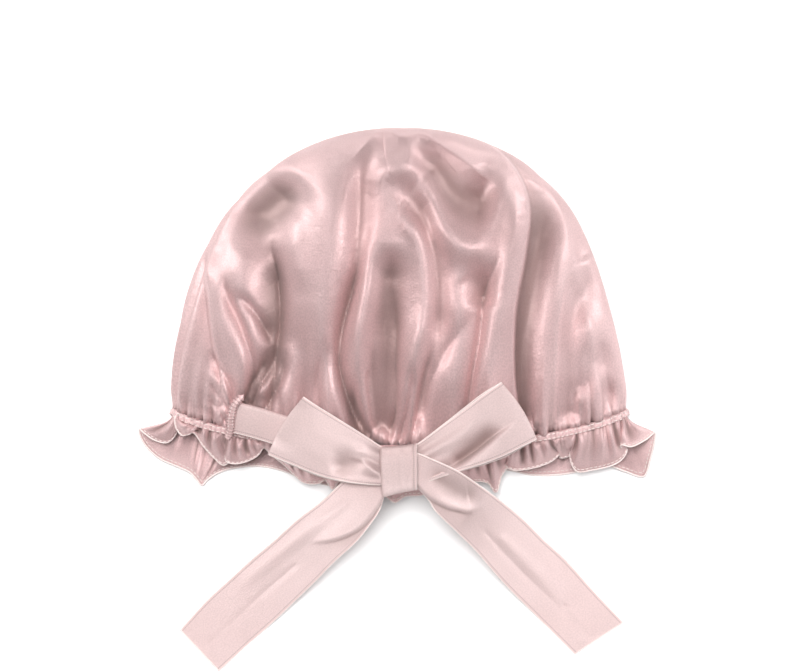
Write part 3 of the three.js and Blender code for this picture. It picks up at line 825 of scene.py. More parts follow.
@dataclass(frozen=True)
class BonnetForm:
    """The bonnet's form without its cloth detail, shared by the crown, the casing and the frill.

    Angles run round the mouth from its right side, over the face and back underneath.
    """

    half_width: float
    top_y: float
    mouth_y: float = -71.0
    front_sag: float = 21.0
    sag_power: float = 1.5
    back_sag: float = 9.0
    left_skew: float = 9.0
    roundness: float = 0.909
    right_tuck: float = 0.045
    slot: tuple[float, float] = (-97.0, -74.0)
    slot_height: float = 1.7
    side_inset: float = 22.0
    arch: float = 0.85
    casing_depth: float = 8.0
    casing_gap: float = 0.6
    spread: float = 0.22
    dip: float = 0.12
    sections: tuple[Point, ...] = (
        (0.00, 10, 42), (0.10, 16, 59), (0.25, 21, 74), (0.45, 25, 84),
        (0.65, 26, 82), (0.82, 25, 69), (0.93, 24, 50), (1.00, 24, 24),
    )

    @staticmethod
    def from_frame() -> "BonnetForm":
        """Takes the width and the top from the frame's crown."""
        low, high = node_box("crown")
        return BonnetForm(half_width=float(high[0] - low[0]) / 2, top_y=float(high[1]))

    def mouth_line(self, angle: Array) -> Array:
        """How far up the crown the mouth is: it sags forward in the middle, and its back sits askew.

        Args:
            angle: angles round the mouth: 0 on its right, a quarter turn over the face.

        Returns:
            The mouth's y at each of them, in millimetres.
        """
        s = np.sin(angle)
        front = self.mouth_y - self.front_sag * np.maximum(s, 0) ** self.sag_power
        left = smooth((1 - np.cos(angle)) / 2)
        return np.where(s >= 0, front, self.mouth_y + (self.back_sag + self.left_skew * left) * s)

    def crown(self, angle: Array, v: Array) -> Array:
        """A point of the bare crown.

        The half width is the cosine of v's quarter turn and the way up its sine, both raised to the
        roundness. Over the face the section is an arch on the side height, and underneath it turns
        in by a quarter ellipse and lies flat. The right side is tucked in a little, most at a quarter
        of the way up.

        Args:
            angle: angles round the crown, as round the mouth.
            v: shares of the way up it, from 0 at the mouth to 1.

        Returns:
            The points, with their coordinates on a last axis.
        """
        angle, v = np.broadcast_arrays(angle, v)
        turn = v * math.pi / 2
        width = self.half_width * powered(np.cos(turn), self.roundness)
        share = powered(np.sin(turn), self.roundness)
        side, top = np.moveaxis(read_table(self.sections, v), -1, 0)
        s, x = np.sin(angle), width * np.cos(angle)
        y = self.mouth_line(angle) * (1 - share) + self.top_y * share
        inset = np.maximum(np.minimum(self.side_inset, width), 1e-6)
        outside = np.clip(1 - (width - np.abs(x)) / inset, 0, 1)
        under = side * (1 - np.sqrt(np.maximum(1 - outside**2, 0)))
        face = side + (top - side) * np.maximum(s, 0) ** self.arch
        tuck = self.right_tuck * np.exp(-(((v - 0.25) / 0.28) ** 2))
        x = np.where(x > 0, x * (1 - tuck), x)
        return np.stack([x, y, np.where(s >= 0, face, under)], axis=-1)

    def forward(self, angle: Array) -> Array:
        """Out of the mouth along the cloth: spread at the sides and dipping over the face."""
        z = -self.dip * np.maximum(0, np.sin(angle))
        return unit(np.stack([self.spread * np.cos(angle), -np.ones_like(angle), z], axis=-1))

    def outward(self, angle: Array) -> Array:
        """Away from the inside of the mouth's loop."""
        x, z = powered(np.cos(angle), 3), powered(np.sin(angle), 0.5)
        return unit(np.stack([x, np.zeros_like(angle), z], axis=-1))

    def casing_line(self, angle: Array, share: float) -> Array:
        """A line round the casing, from its crown edge at 0 to its frill edge at 1.

        Args:
            angle: angles round the mouth: 0 on its right, a quarter turn over the face.
            share: which line it is.

        Returns:
            The line's points.
        """
        mouth = self.crown(angle, np.zeros_like(angle))
        mouth[:, 2] = np.maximum(mouth[:, 2] - 0.7, 0.7)
        line = mouth + self.forward(angle) * (self.casing_gap + self.casing_depth * share)
        line[:, 2] = np.maximum(line[:, 2], 1.0)
        return line

    def mouth_length(self, angle: Array) -> Array:
        """How far round the mouth each angle is from the middle of its back, in millimetres.

        Args:
            angle: angles round the mouth: 0 on its right, a quarter turn over the face.

        Returns:
            The lengths along the middle of the casing.
        """
        dense = np.linspace(-math.pi / 2, 3 * math.pi / 2, 1441)
        line = self.casing_line(dense, 0.5)
        length = travelled(line)
        return np.interp(angle, dense, length)

    def slot_pleats(self, x: Array, y: Array) -> Array:
        """Creases that run out like rays from the ribbon's slot, highest 7 mm from it.

        Args:
            x: places across, in millimetres.
            y: places up the crown, in millimetres.

        Returns:
            The heights, in millimetres.
        """
        across, up = x - self.slot[0], y - self.slot[1]
        ray = np.arctan2(up, across)
        distance = np.hypot(across, up)
        wave = 1 - 2 * np.abs(np.sin(6.5 * ray + 0.8 * np.sin(2 * ray) + 0.05 * distance)) ** 0.7
        return self.slot_height * wave * np.exp(-(((distance - 7) / 12) ** 2)) * smooth(distance / 5)

    def pucker(self, angle: Array) -> Array:
        """The fine gathers drawn up by the ribbon, from -1 to 1 round the mouth."""
        place = self.mouth_length(angle)
        return 0.6 * ripples(place, 6.4, 11) + 0.4 * ripples(place, 3.9, 12)


# ---------------------------------------------------------------- sub-assemblies


@dataclass
class Crown:
    """The gathered dome."""

    form: BonnetForm
    wardrobe: Wardrobe
    face_columns: int = 350
    back_columns: int = 40
    rows: int = 124
    wall: float = 0.5
    fold_side: float = 0.35
    fold_end: float = 0.12
    last_row: float = 0.992
    fold_height: float = 1.1
    flat: tuple[float, float] = (0.50, 0.44)
    cut_share: float = 0.6
    fine_height: float = 1.8
    fine_reach: float = 9.0
    broad_height: float = 1.1
    broad_reach: float = 20.0

    def angles(self) -> Array:
        """Angles of the columns, evenly spaced along the middle section, closer over the face.

        Returns:
            One angle for each column.
        """
        dense = np.linspace(-math.pi / 2, 3 * math.pi / 2, 4001)
        section = self.form.crown(dense, np.full_like(dense, 0.35))[:, [0, 2]]
        step = np.linalg.norm(np.diff(section, axis=0), axis=1)
        over_face = np.sin(dense[:-1]) > -0.02
        face_rate = self.face_columns / step[over_face].sum()
        back_rate = self.back_columns / step[~over_face].sum()
        rate = np.where(over_face, face_rate, back_rate)
        count = np.r_[0.0, np.cumsum(step * rate)]
        columns = self.face_columns + self.back_columns
        return np.interp(np.arange(columns) * count[-1] / columns, count, dense)

    def surface(self, angle: Array, v: Array) -> tuple[Array, Array]:
        """The bare crown, plus every fold, the gathers at the mouth and a faint unevenness.

        Folds lift the face straight up, and ease out at the sides and the far end. Gathers are
        ripples round the mouth, fine ones that fade within 10 mm, broader ones within 30 mm, and wide
        ones that run far up the sides.

        Args:
            angle: the columns' angles.
            v: the rows' shares of the way up.

        Returns:
            The points, rows by columns, and the shade painted at each of them, most deep in folds and in the
            gathers' troughs.
        """
        grid = self.form.crown(angle[None, :], v[:, None])
        x, y = grid[..., 0], grid[..., 1]
        face = smooth(np.sin(angle) / self.fold_side)[None, :] * smooth((1 - v) / self.fold_end)[:, None]
        lift = self.fold_height * sum(fold.lift(x, y) for fold in FOLDS)
        from_mouth = y - self.form.mouth_line(angle)[None, :]
        lift = lift * smooth(0.62 + from_mouth / 26)
        lift = lift + self.form.slot_pleats(x, y)
        grid[..., 2] += lift * face
        place = self.form.mouth_length(angle)[None, :] + 0.18 * from_mouth * np.sin(x / 31.0)
        calm = 1 - 0.75 * np.exp(-((x / 26) ** 2))
        inward = np.maximum(from_mouth, 0)
        near = np.exp(-((inward / self.fine_reach) ** 1.4))
        fine = self.form.pucker(angle)[None, :] * near * self.fine_height * calm
        farther = np.exp(-((inward / self.broad_reach) ** 1.6))
        broad = ripples(place, 10.5, 5) * farther * self.broad_height * calm
        beside = smooth(1 - np.abs(np.sin(angle)) / 0.8)[None, :]
        reach = 55 + 55 * beside
        fade = smooth(from_mouth / 12) * np.exp(-((from_mouth / reach) ** 2))
        wide = ripples(place, 19.0, 8) * fade * (0.5 + 1.3 * beside)
        normal = grid_normals(grid, ring=True)
        normal *= np.sign((normal * (grid - [0, 0, 25])).sum(-1, keepdims=True))
        over = smooth(0.35 + np.sin(angle) * 1.2)[None, :]
        uneven = 0.35 * np.sin(x / 9.0 + 0.7 * np.sin(y / 13.0)) * np.sin(y / 17.0 + 1.1)
        uneven = uneven * smooth((1 - v) / 0.2)[:, None]
        lower = smooth(0.75 + np.sin(angle) * 1.6)[None, :]
        grid += normal * ((fine + broad + uneven) * over + wide * lower)[..., None]
        grid[..., 2] = np.maximum(grid[..., 2], self.wall / 2)
        # Painted shade: the colour darkens deep in the folds and in the troughs of the gathers.
        gathers = np.maximum(-(fine + broad), 0) * over * 0.28
        hollow = np.clip(smooth(-lift * face / 15 - 0.12) + gathers, 0, 1)
        return grid, hollow

    def build(self) -> Piece:
        """Makes the crown as one closed wall.

        Returns:
            The crown's piece.
        """
        angle = self.angles()
        v = np.linspace(0, self.last_row, self.rows + 1)
        grid, hollow = self.surface(angle, v)
        pole = grid[-1].mean(axis=0)
        pole[1] = self.form.top_y
        around = self.form.mouth_length(np.r_[angle, angle[0] + 2 * math.pi])
        up = np.linspace(0, 205.0, self.rows + 1)
        uv = cloth_map(around[None, :], up[:, None])
        shell = cloth_wall(grid, uv, self.wall, ring=True, pole=pole, hollow=hollow)
        finishes = [self.wardrobe.satin, self.wardrobe.satin_reverse]
        return make_piece("gathered_crown", [shell], finishes, "crown")


@dataclass
class Casing:
    """The turned channel round the mouth, drawn up into puckers, with its two rows of stitches."""

    form: BonnetForm
    wardrobe: Wardrobe
    columns: int = 1000
    corners: int = 14
    thickness: float = 2.0
    half_depth: float = 2.3
    squareness: float = 0.7
    stitch: float = 2.1
    stitch_gap: float = 1.0
    thread: float = 0.34
    slot_line: tuple[Point, ...] = (
        (-91.6, -64.2, 50.5), (-95.6, -69, 51), (-97.4, -75.5, 49.5), (-98, -82, 46.5), (-99.6, -87, 43),
    )

    def build(self) -> list[Piece]:
        """A flattened tube round the mouth whose outer side is rippled by the puckers.

        Returns:
            The casing and everything sewn to it.
        """
        angle = -math.pi / 2 + 2 * math.pi * np.arange(self.columns) / self.columns
        centre = self.form.casing_line(angle, 0.18)
        out, ahead = self.form.outward(angle), self.form.forward(angle)
        turn = 2 * np.pi * (np.arange(self.corners) + 0.5) / self.corners
        pucker = self.form.pucker(angle)
        uneven = 1 + 0.22 * ripples(self.form.mouth_length(angle), 23.0, 31)
        along = self.half_depth * powered(np.cos(turn), self.squareness)
        across = self.thickness / 2 * powered(np.sin(turn), self.squareness)
        outer = np.maximum(np.sin(turn), 0)[None, :] * (0.1 + 1.3 * pucker * uneven)[:, None]
        grid = centre[:, None] + ahead[:, None] * along[None, :, None]
        grid = grid + out[:, None] * (across[None, :] + outer)[..., None]
        grid[..., 2] = np.maximum(grid[..., 2], 0.1)
        points = grid.reshape(-1, 3)
        quads, jj, ii = corner_grid(self.columns, self.corners, self.corners)
        around = self.form.mouth_length(np.r_[angle, angle[0] + 2 * math.pi])
        uv = np.stack([around[jj], ii * 1.6], axis=-1) * MM
        # Painted shade in the troughs of the puckers.
        hollow = np.clip(-pucker[:, None] * np.ones(self.corners) * 0.7, 0, 1).ravel()
        shells = [Shell(points, quads % len(points), uv, hollow=hollow).facing_out()]
        piece = make_piece("ribbon_casing", shells, [self.wardrobe.satin], "casing")
        return [piece, self._stitches(angle, out, pucker), *self.slot_binding()]

    def slot_binding(self) -> list[Piece]:
        """The puckered strip that binds the slot where the ribbon leaves the casing.

        Returns:
            The strip and its stitches.
        """
        line = curve_through(self.slot_line, 240)
        length = np.linspace(0, 24, 240)
        pleats = 2 * np.pi * length / 1.7
        radius = 2.1 * (1 + 0.2 * np.sin(pleats + 0.8 * np.sin(length / 2.3)))
        strip = tube(line, radius, 10, squash=0.45)
        # Painted shade in the valleys of the strip's pleats.
        valley = np.clip(-np.sin(pleats) * 0.5, 0, 0.5)
        strip.hollow = np.r_[np.zeros(10), np.repeat(valley, 10), np.zeros(10)]
        piece = make_piece("slot_binding", [strip], [self.wardrobe.satin], "casing")
        up = np.broadcast_to([0.0, 0.0, 1.0], line.shape)
        rows = [stitches(line + np.array([side, side * 0.3, 1.0]), 1.4, 0.7, 0.2, up) for side in (-1.1, 1.1)]
        sewn = make_piece(
            "slot_binding_stitches", rows[0] + rows[1], [self.wardrobe.edge_thread], "casing"
        )
        return [piece, sewn]

    def _stitches(self, angle: Array, out: Array, pucker: Array) -> Piece:
        """Two rows of stitches, near the crown edge and near the frill edge.

        Args:
            angle: the columns' angles.
            out: the way out of the mouth's loop at each of them.
            pucker: the gathers there, from -1 to 1.

        Returns:
            The stitches' piece.
        """
        shells = []
        for share in (0.04, 0.34):
            line = self.form.casing_line(angle, share) + out * (self.thickness * 0.5 + 1.2 * pucker[:, None])
            line[:, 2] = np.maximum(line[:, 2], 0.5)
            shells += stitches(line, self.stitch, self.stitch_gap, self.thread, out, closed=True)
        return make_piece("casing_stitches", shells, [self.wardrobe.edge_thread], "casing")


# Where the frill's hem lies, keyed by the angle round the casing in degrees: x, y and height. It doubles
# back on itself where the frill folds over.
HEM = (
    (-90, 0, -118, 1.6), (-75, 34, -113, 1.6), (-62, 58, -107, 1.8), (-52, 76, -110, 2.2),
    (-43, 93, -109.6, 3),
    (-34, 108, -106.6, 5), (-27, 120, -104.8, 6), (-20, 130, -108, 4.5), (-13, 140.7, -110.7, 3.5),
    (-8, 144, -101, 7), (-3, 146, -91, 11), (1, 146.2, -85.2, 15), (5, 141, -89, 19), (9, 132.5, -93, 21.5),
    (12, 127, -92, 21), (14, 126.5, -93.5, 17), (17, 130.2, -95, 13.5), (21, 127, -100.8, 14.5),
    (26, 120, -104.5, 16), (32, 109, -106.8, 18), (36, 101.5, -107.6, 19.5), (38.5, 98.2, -103.5, 21.5),
    (41, 97, -97, 22.5), (42.5, 99.5, -95.5, 18), (44.5, 97, -98.6, 12.5), (47, 91.8, -99.8, 12.5),
    (49, 91.8, -97, 18), (51, 86.5, -101.2, 21.5), (53.5, 80, -104, 23), (57, 72.5, -105.8, 24),
    (60, 65, -106.4, 24.5), (61.8, 60.2, -104.5, 25), (63, 61.5, -101.5, 21), (64.5, 61, -105, 17),
    (66, 57.5, -110, 16), (67.5, 54.6, -119.6, 15), (69.5, 49.5, -114, 18), (73, 39, -113.5, 21),
    (78, 22, -118, 23), (84, 10, -121, 23), (88.5, 1.7, -121.6, 25), (91.5, -4, -125, 24.5),
    (94.5, -9, -121.8, 26),
    (99, -17, -118, 25), (104, -30, -118, 24), (106.5, -36, -113, 22), (109, -40, -117.5, 22),
    (111, -44, -112.5, 21), (113.5, -49, -114.4, 20), (117, -57, -113.6, 19), (120.5, -63.5, -108, 20),
    (123, -68, -103.5, 21), (125.5, -75, -98, 22), (127.5, -79.4, -93.6, 24), (130, -83, -97.8, 24.5),
    (133, -88.5, -101, 24.5), (136.2, -95.8, -102.8, 24.5), (138.8, -101.2, -101.4, 25.5),
    (140, -101.5, -98.5, 22), (141.3, -99.8, -101.5, 17), (142.8, -103.4, -103.8, 17.5),
    (145, -108.5, -99.5, 19.5),
    (148, -114.6, -92.6, 21.5), (150.5, -119.8, -85.2, 23), (153, -123.6, -86, 23),
    (155.5, -127.2, -86.3, 22.5),
    (158, -130.4, -81.8, 22), (160.5, -130.8, -76, 21.5), (162.5, -128.2, -76, 16.5),
    (164.5, -129.5, -81, 12.5),
    (167, -132, -87.5, 11), (170, -136.5, -91, 11), (174, -143.5, -89.5, 11), (178, -149.3, -85.6, 11),
    (181, -152.3, -83.4, 9.5), (184, -151.6, -88.2, 6.5), (188, -147.6, -94.5, 5),
    (194, -140.5, -100.6, 4.5),
    (201, -130.6, -105, 5), (207, -123.4, -108.4, 4.5), (212, -119.6, -112.4, 3.5), (216, -116.4, -116, 3),
    (219, -113, -112.7, 3.5), (223, -107, -108.7, 3.8), (229, -98, -106, 2.8), (237, -84, -104.8, 2.2),
    (245, -70, -107.4, 1.8), (253, -55, -113, 1.6), (261, -36, -117, 1.6), (270, 0, -118, 1.6),
)


@dataclass
class Frill:
    """The ruffle outside the casing, with its rolled hem and the stitches along it."""

    form: BonnetForm
    wardrobe: Wardrobe
    columns: int = 1100
    rows: int = 20
    wall: float = 0.45
    hem_radius: float = 0.55
    pucker_height: float = 1.9
    pleat_height: float = 4.0
    flat: tuple[float, float] = (0.027, 0.62)

    def angles(self) -> Array:
        """Angles round the casing that put the columns evenly along the hem.

        Returns:
            One angle for each column.
        """
        dense = np.linspace(-90.0, 270.0, 6001)
        hem = read_table(HEM, dense)
        length = np.r_[0.0, np.cumsum(np.linalg.norm(np.diff(hem, axis=0), axis=1) + 0.03)]
        return np.radians(np.interp(np.arange(self.columns) * length[-1] / self.columns, length, dense))

    def surface(self, angle: Array) -> tuple[Array, Array]:
        """From the casing to the hem along a cubic that leaves forward and comes in along the chord.

        Puckers, the casing's own, fade from the casing outwards; broader pleats run right to the hem.

        Args:
            angle: the columns' angles.

        Returns:
            The points, rows by columns, and the shade painted at each of them, darker in the pleats' troughs
            and next to the casing.
        """
        start = self.form.casing_line(angle, 0.42)
        hem = read_table(HEM, np.degrees(angle))
        reach = np.linalg.norm(hem - start, axis=1, keepdims=True)
        front = smooth(0.5 + 1.5 * np.sin(angle))[:, None]
        lead = start + self.form.forward(angle) * reach * 0.3 + np.array([0, 0, 1.0]) * front * 2.0
        arrive = hem + (start - hem) * 0.3 + np.array([0, 0, 1.0]) * front * 2.5
        s = np.linspace(0, 1, self.rows + 1)[:, None, None]
        grid = start * (1 - s) ** 3 + 3 * lead * s * (1 - s) ** 2 + 3 * arrive * s * s * (1 - s) + hem * s**3
        place = self.form.mouth_length(angle)
        fade = np.exp(-((s[..., 0] / 0.5) ** 1.5))
        lift = self.pucker_height * self.form.pucker(angle)[None, :] * fade
        pleat = ripples(place, 7.4, 21) * 0.6 + ripples(place, 13.0, 22) * 0.4
        pleat = 1 - 2 * ((1 - pleat) / 2) ** 0.75
        pleat = pleat * (1 + 0.8 * np.exp(-(((np.degrees(angle) - 150) / 16) ** 2)))
        lift = lift + self.pleat_height * pleat[None, :] * np.sin(np.pi * np.minimum(s[..., 0] + 0.12, 1.0))
        back = smooth(0.3 + 1.2 * np.sin(angle))[None, :]
        lift = lift + self.form.slot_pleats(grid[..., 0], grid[..., 1]) * back
        grid[..., 2] += lift * (0.35 + 0.65 * back)
        grid[..., 2] = np.maximum(grid[..., 2], self.wall / 2 + 0.1)
        # Painted shade: darker in the troughs of the puckers and pleats, and next to the casing, where the
        # frill runs in under it.
        near = np.exp(-s[..., 0] / 0.25)
        hollow = np.clip(-lift * 0.3 + 0.25 * near - 0.14, 0, 1)
        return grid, hollow

    def build(self) -> Piece:
        """Makes the ruffle, its rolled hem and its stitches.

        Returns:
            The frill's piece.
        """
        angle = self.angles()
        grid, hollow = self.surface(angle)
        hem = grid[-1]
        step = np.linalg.norm(np.roll(hem, -1, axis=0) - hem, axis=1)
        around = np.r_[0.0, np.cumsum(step)]
        down = np.linspace(0, 27, self.rows + 1)
        uv = cloth_map(around[None, :], down[:, None])
        shell = cloth_wall(grid, uv, self.wall, ring=True, hollow=hollow)
        piece = make_piece(
            "gathered_frill", [shell], [self.wardrobe.satin, self.wardrobe.satin], "frill"
        )
        bead = 1 + 0.16 * np.sin(2 * np.pi * around[:-1] / 1.3)
        roll = tube(hem, self.hem_radius * bead, 6, closed=True)
        rolled = make_piece("frill_rolled_hem", [roll], [self.wardrobe.edge_thread], "frill")
        seam = grid[-2] * 0.55 + grid[-3] * 0.45
        up = grid_normals(grid, ring=True)[-2]
        up *= np.sign(up[:, 2:3] + 1e-6)
        sewn = stitches(seam + up * self.wall / 2, 1.7, 0.9, 0.3, up, closed=True)
        stitched = make_piece("frill_hem_stitches", sewn, [self.wardrobe.edge_thread], "frill")
        return piece


@dataclass
class RibbonPiece:
    """A stretch of ribbon given by its two long edges, or by a middle line."""

    wardrobe: Wardrobe
    name: str
    node: str
    folds: tuple[Fold, ...] = ()
    wall: float = 0.55
    edge_radius: float = 0.42
    width: float = 34.0

    def edge_cord(self, line: Array) -> Shell:
        """The selvedge: a thin beaded cord along an edge.

        Args:
            line: the edge's points.

        Returns:
            The cord, a closed shell.
        """
        length = travelled(line)
        even = np.linspace(0, length[-1], max(int(length[-1] / 0.3), 8))
        radius = self.edge_radius * (1 + 0.2 * np.sin(2 * np.pi * even / 1.15))
        return tube(read_path(even, length, line), radius, 5)

    def lift(self, x: Array, y: Array) -> Array:
        """The height of every fold at each place."""
        return sum((fold.lift(x, y) for fold in self.folds), np.zeros_like(x))

    def dress(
        self, grid: Array, across: Array, hollow: Array, held: str, rests_on: list[str], trims: tuple = ()
    ) -> Piece:
        """Gives the strip its thickness and its selvedges.

        Args:
            grid: the strip's points, rows along it by columns across it.
            across: each column's place across the ribbon, in millimetres.
            hollow: the shade painted at each point, from 0 to 1, most deep in folds.
            held: how the ribbon is held; not used.
            rests_on: the names of what it rests on; not used.
            trims: other pieces sewn to it; not used.

        Returns:
            The ribbon's piece.
        """
        middle = grid[:, grid.shape[1] // 2]
        length = travelled(middle)
        uv = cloth_map(length[:, None], across[None, :])
        shell = cloth_wall(grid, uv, self.wall, hollow=hollow)
        piece = make_piece(
            self.name, [shell], [self.wardrobe.ribbon, self.wardrobe.ribbon], self.node
        )
        edges = [self.edge_cord(grid[:, k]) for k in (0, -1)]
        cords = make_piece(
            self.name + "_selvedges", edges, [self.wardrobe.edge_thread], self.node
        )
        return piece


@dataclass
class BowTail(RibbonPiece):
    """A loose end of the ribbon, from under the knot down to the table."""

    upper: tuple[tuple[float, float], ...] = ()
    lower: tuple[tuple[float, float], ...] = ()
    heights: tuple = ()
    rows: int = 300
    columns: int = 48

    def build(self) -> Piece:
        """Straight across from edge to edge in plan, on heights read along the tail, with its folds.

        Returns:
            The tail's piece.
        """
        upper, lower = curve_through(self.upper, self.rows + 1), curve_through(self.lower, self.rows + 1)
        a = np.linspace(0, 1, self.columns + 1)[None, :, None]
        plan = upper[:, None] * (1 - a) + lower[:, None] * a
        t = np.linspace(0, 1, self.rows + 1)
        height = read_table(self.heights, t)
        z = height[:, :1] * (1 - a[..., 0]) + height[:, 1:2] * a[..., 0]
        x, y = plan[..., 0], plan[..., 1]
        wave = 0.35 * np.sin(x / 9.0 + y / 15.0) * np.sin(y / 11.0)
        lift = self.lift(x, y)
        grid = np.stack([x, y, np.maximum(z + wave + lift, self.wall / 2 + 0.15)], axis=-1)
        # Painted shade in the valleys of the tail's folds.
        hollow = np.clip(-lift / 5 - 0.1, 0, 1)
        hem = make_piece(
            self.name + "_cut_end", [tube(grid[-1], 0.5, 6)], [self.wardrobe.edge_thread],
            self.node,
        )
        across = np.linspace(0, self.width, self.columns + 1)
        return self.dress(grid, across, hollow, "laid", ["table"], (hem,))


@dataclass
class BowLoop(RibbonPiece):
    """A loop of the bow: out from the knot, round and back underneath."""

    upper: tuple[tuple[float, float], ...] = ()
    lower: tuple[tuple[float, float], ...] = ()
    base: tuple[float, float] = (59.0, 59.0)
    rise: tuple[float, float] = (68.0, 62.0)
    puff: float = 7.5
    end_swell: float = 2.0
    back_shift: tuple[float, float] = (0.0, -2.5)
    back_widen: float = 0.0
    pleats: float = 1.2
    rows: int = 300
    columns: int = 48

    def build(self) -> Piece:
        """Carries the width round a teardrop.

        Going round by t, the share of the reach is (1 - cos 2 pi t)/2 and the height off the middle
        puff times sin 2 pi t times that share's square root. In plan it is straight from the lower
        edge to the upper edge.

        Returns:
            The loop's piece.
        """
        t = np.linspace(0, 1, self.rows + 1)
        share = (1 - np.cos(2 * np.pi * t)) / 2
        upper, lower = curve_through(self.upper, 200), curve_through(self.lower, 200)
        at = share * 199

        def read(line: Array) -> Array:
            """Reads an edge of the loop at every row's share of the reach."""
            return np.stack([np.interp(at, np.arange(200), line[:, k]) for k in range(2)], axis=-1)

        a = np.linspace(0, 1, self.columns + 1)[None, :]
        plan = read(upper)[:, None] * (1 - a[..., None]) + read(lower)[:, None] * a[..., None]
        ends = (np.array(self.upper)[[0, -1]] + np.array(self.lower)[[0, -1]]) / 2
        outward = unit(ends[1] - ends[0])
        plan = plan + outward * (self.end_swell * np.sin(np.pi * a) * share[:, None] ** 3)[..., None]
        behind = smooth((t - 0.5) / 0.25)[:, None] * share[:, None]
        centre = plan.mean(axis=1, keepdims=True)
        plan = plan + behind[..., None] * (np.array(self.back_shift) + self.back_widen * (plan - centre))
        height = self.puff * np.sin(2 * np.pi * t) * np.sqrt(share)
        base = self.base[0] * (1 - a) + self.base[1] * a
        rise = self.rise[0] * (1 - a) + self.rise[1] * a
        z = base + (rise - base) * share[:, None] ** 0.9 + height[:, None] * (1 - 0.35 * (2 * a - 1) ** 2)
        near_knot = np.exp(-share / 0.22) * smooth(share / 0.02)
        creases = np.sin(2 * np.pi * (a * 3.2 + 0.15)) * near_knot[:, None]
        x, y = plan[..., 0], plan[..., 1]
        front = smooth((0.5 - t) / 0.06 + 0.5)[:, None]
        lift = self.lift(x, y) * front
        z = z + self.pleats * creases + lift
        grid = np.stack([x, y, z], axis=-1)
        across = np.linspace(0, self.width, self.columns + 1)
        # Painted shade: darker in the creases by the knot, where the loop comes out from under the knot, and
        # in the valleys of its folds.
        shaded = 0.3 * np.maximum(-creases, 0) + 0.35 * np.exp(-share[:, None] / 0.05)
        hollow = np.clip(-lift / 7 - 0.05 + shaded, 0, 1)
        return self.dress(grid, across, hollow, "folded", ["gathered_frill", "gathered_crown"])


@dataclass
class DrawstringRun(RibbonPiece):
    """The ribbon between its slot in the casing and the knot, folded in half along its length."""

    line: tuple[Point, ...] = ()
    tilt: float = 14.0
    folded: float = 17.5
    parted: float = 1.0
    rows: int = 160
    columns: int = 44

    def build(self) -> Piece:
        """Carries a narrow U along the middle line: one layer up, round the fold and down again.

        Returns:
            The run's piece.
        """
        middle = curve_through(self.line, self.rows + 1)
        way = unit(np.gradient(middle, axis=0))
        flat_side = unit(np.cross([0, 0, 1.0], way))
        flat_side *= np.sign(flat_side[:, 1:2])
        lean = math.radians(self.tilt)
        up = flat_side * math.cos(lean) + np.array([0, 0, 1.0]) * math.sin(lean)
        out = unit(np.cross(up, way))
        out *= np.sign(out[:, 2:3])
        u = np.linspace(-1, 1, self.columns + 1)
        straight = (self.folded - self.parted) * (1 - np.abs(u)) / 0.92 - self.folded / 2
        turned = self.parted * (1 - np.sqrt(np.clip(1 - (u / 0.08) ** 2, 0, 1)))
        along = np.minimum(straight, self.folded / 2 - turned)
        off = self.parted * np.clip(-u / 0.08, -1, 1)
        belly = 0.5 * np.sin(np.pi * np.clip((along + self.folded / 2) / self.folded, 0, 1))
        off = off + np.sign(off) * belly
        grid = middle[:, None] + up[:, None] * along[None, :, None] + out[:, None] * off[None, :, None]
        x, y = grid[..., 0], grid[..., 1]
        lift = self.lift(x, y)
        grid[..., 2] += lift
        across = np.linspace(0, self.width, self.columns + 1)
        return self.dress(grid, across, np.zeros_like(lift), "folded", ["gathered_crown"])


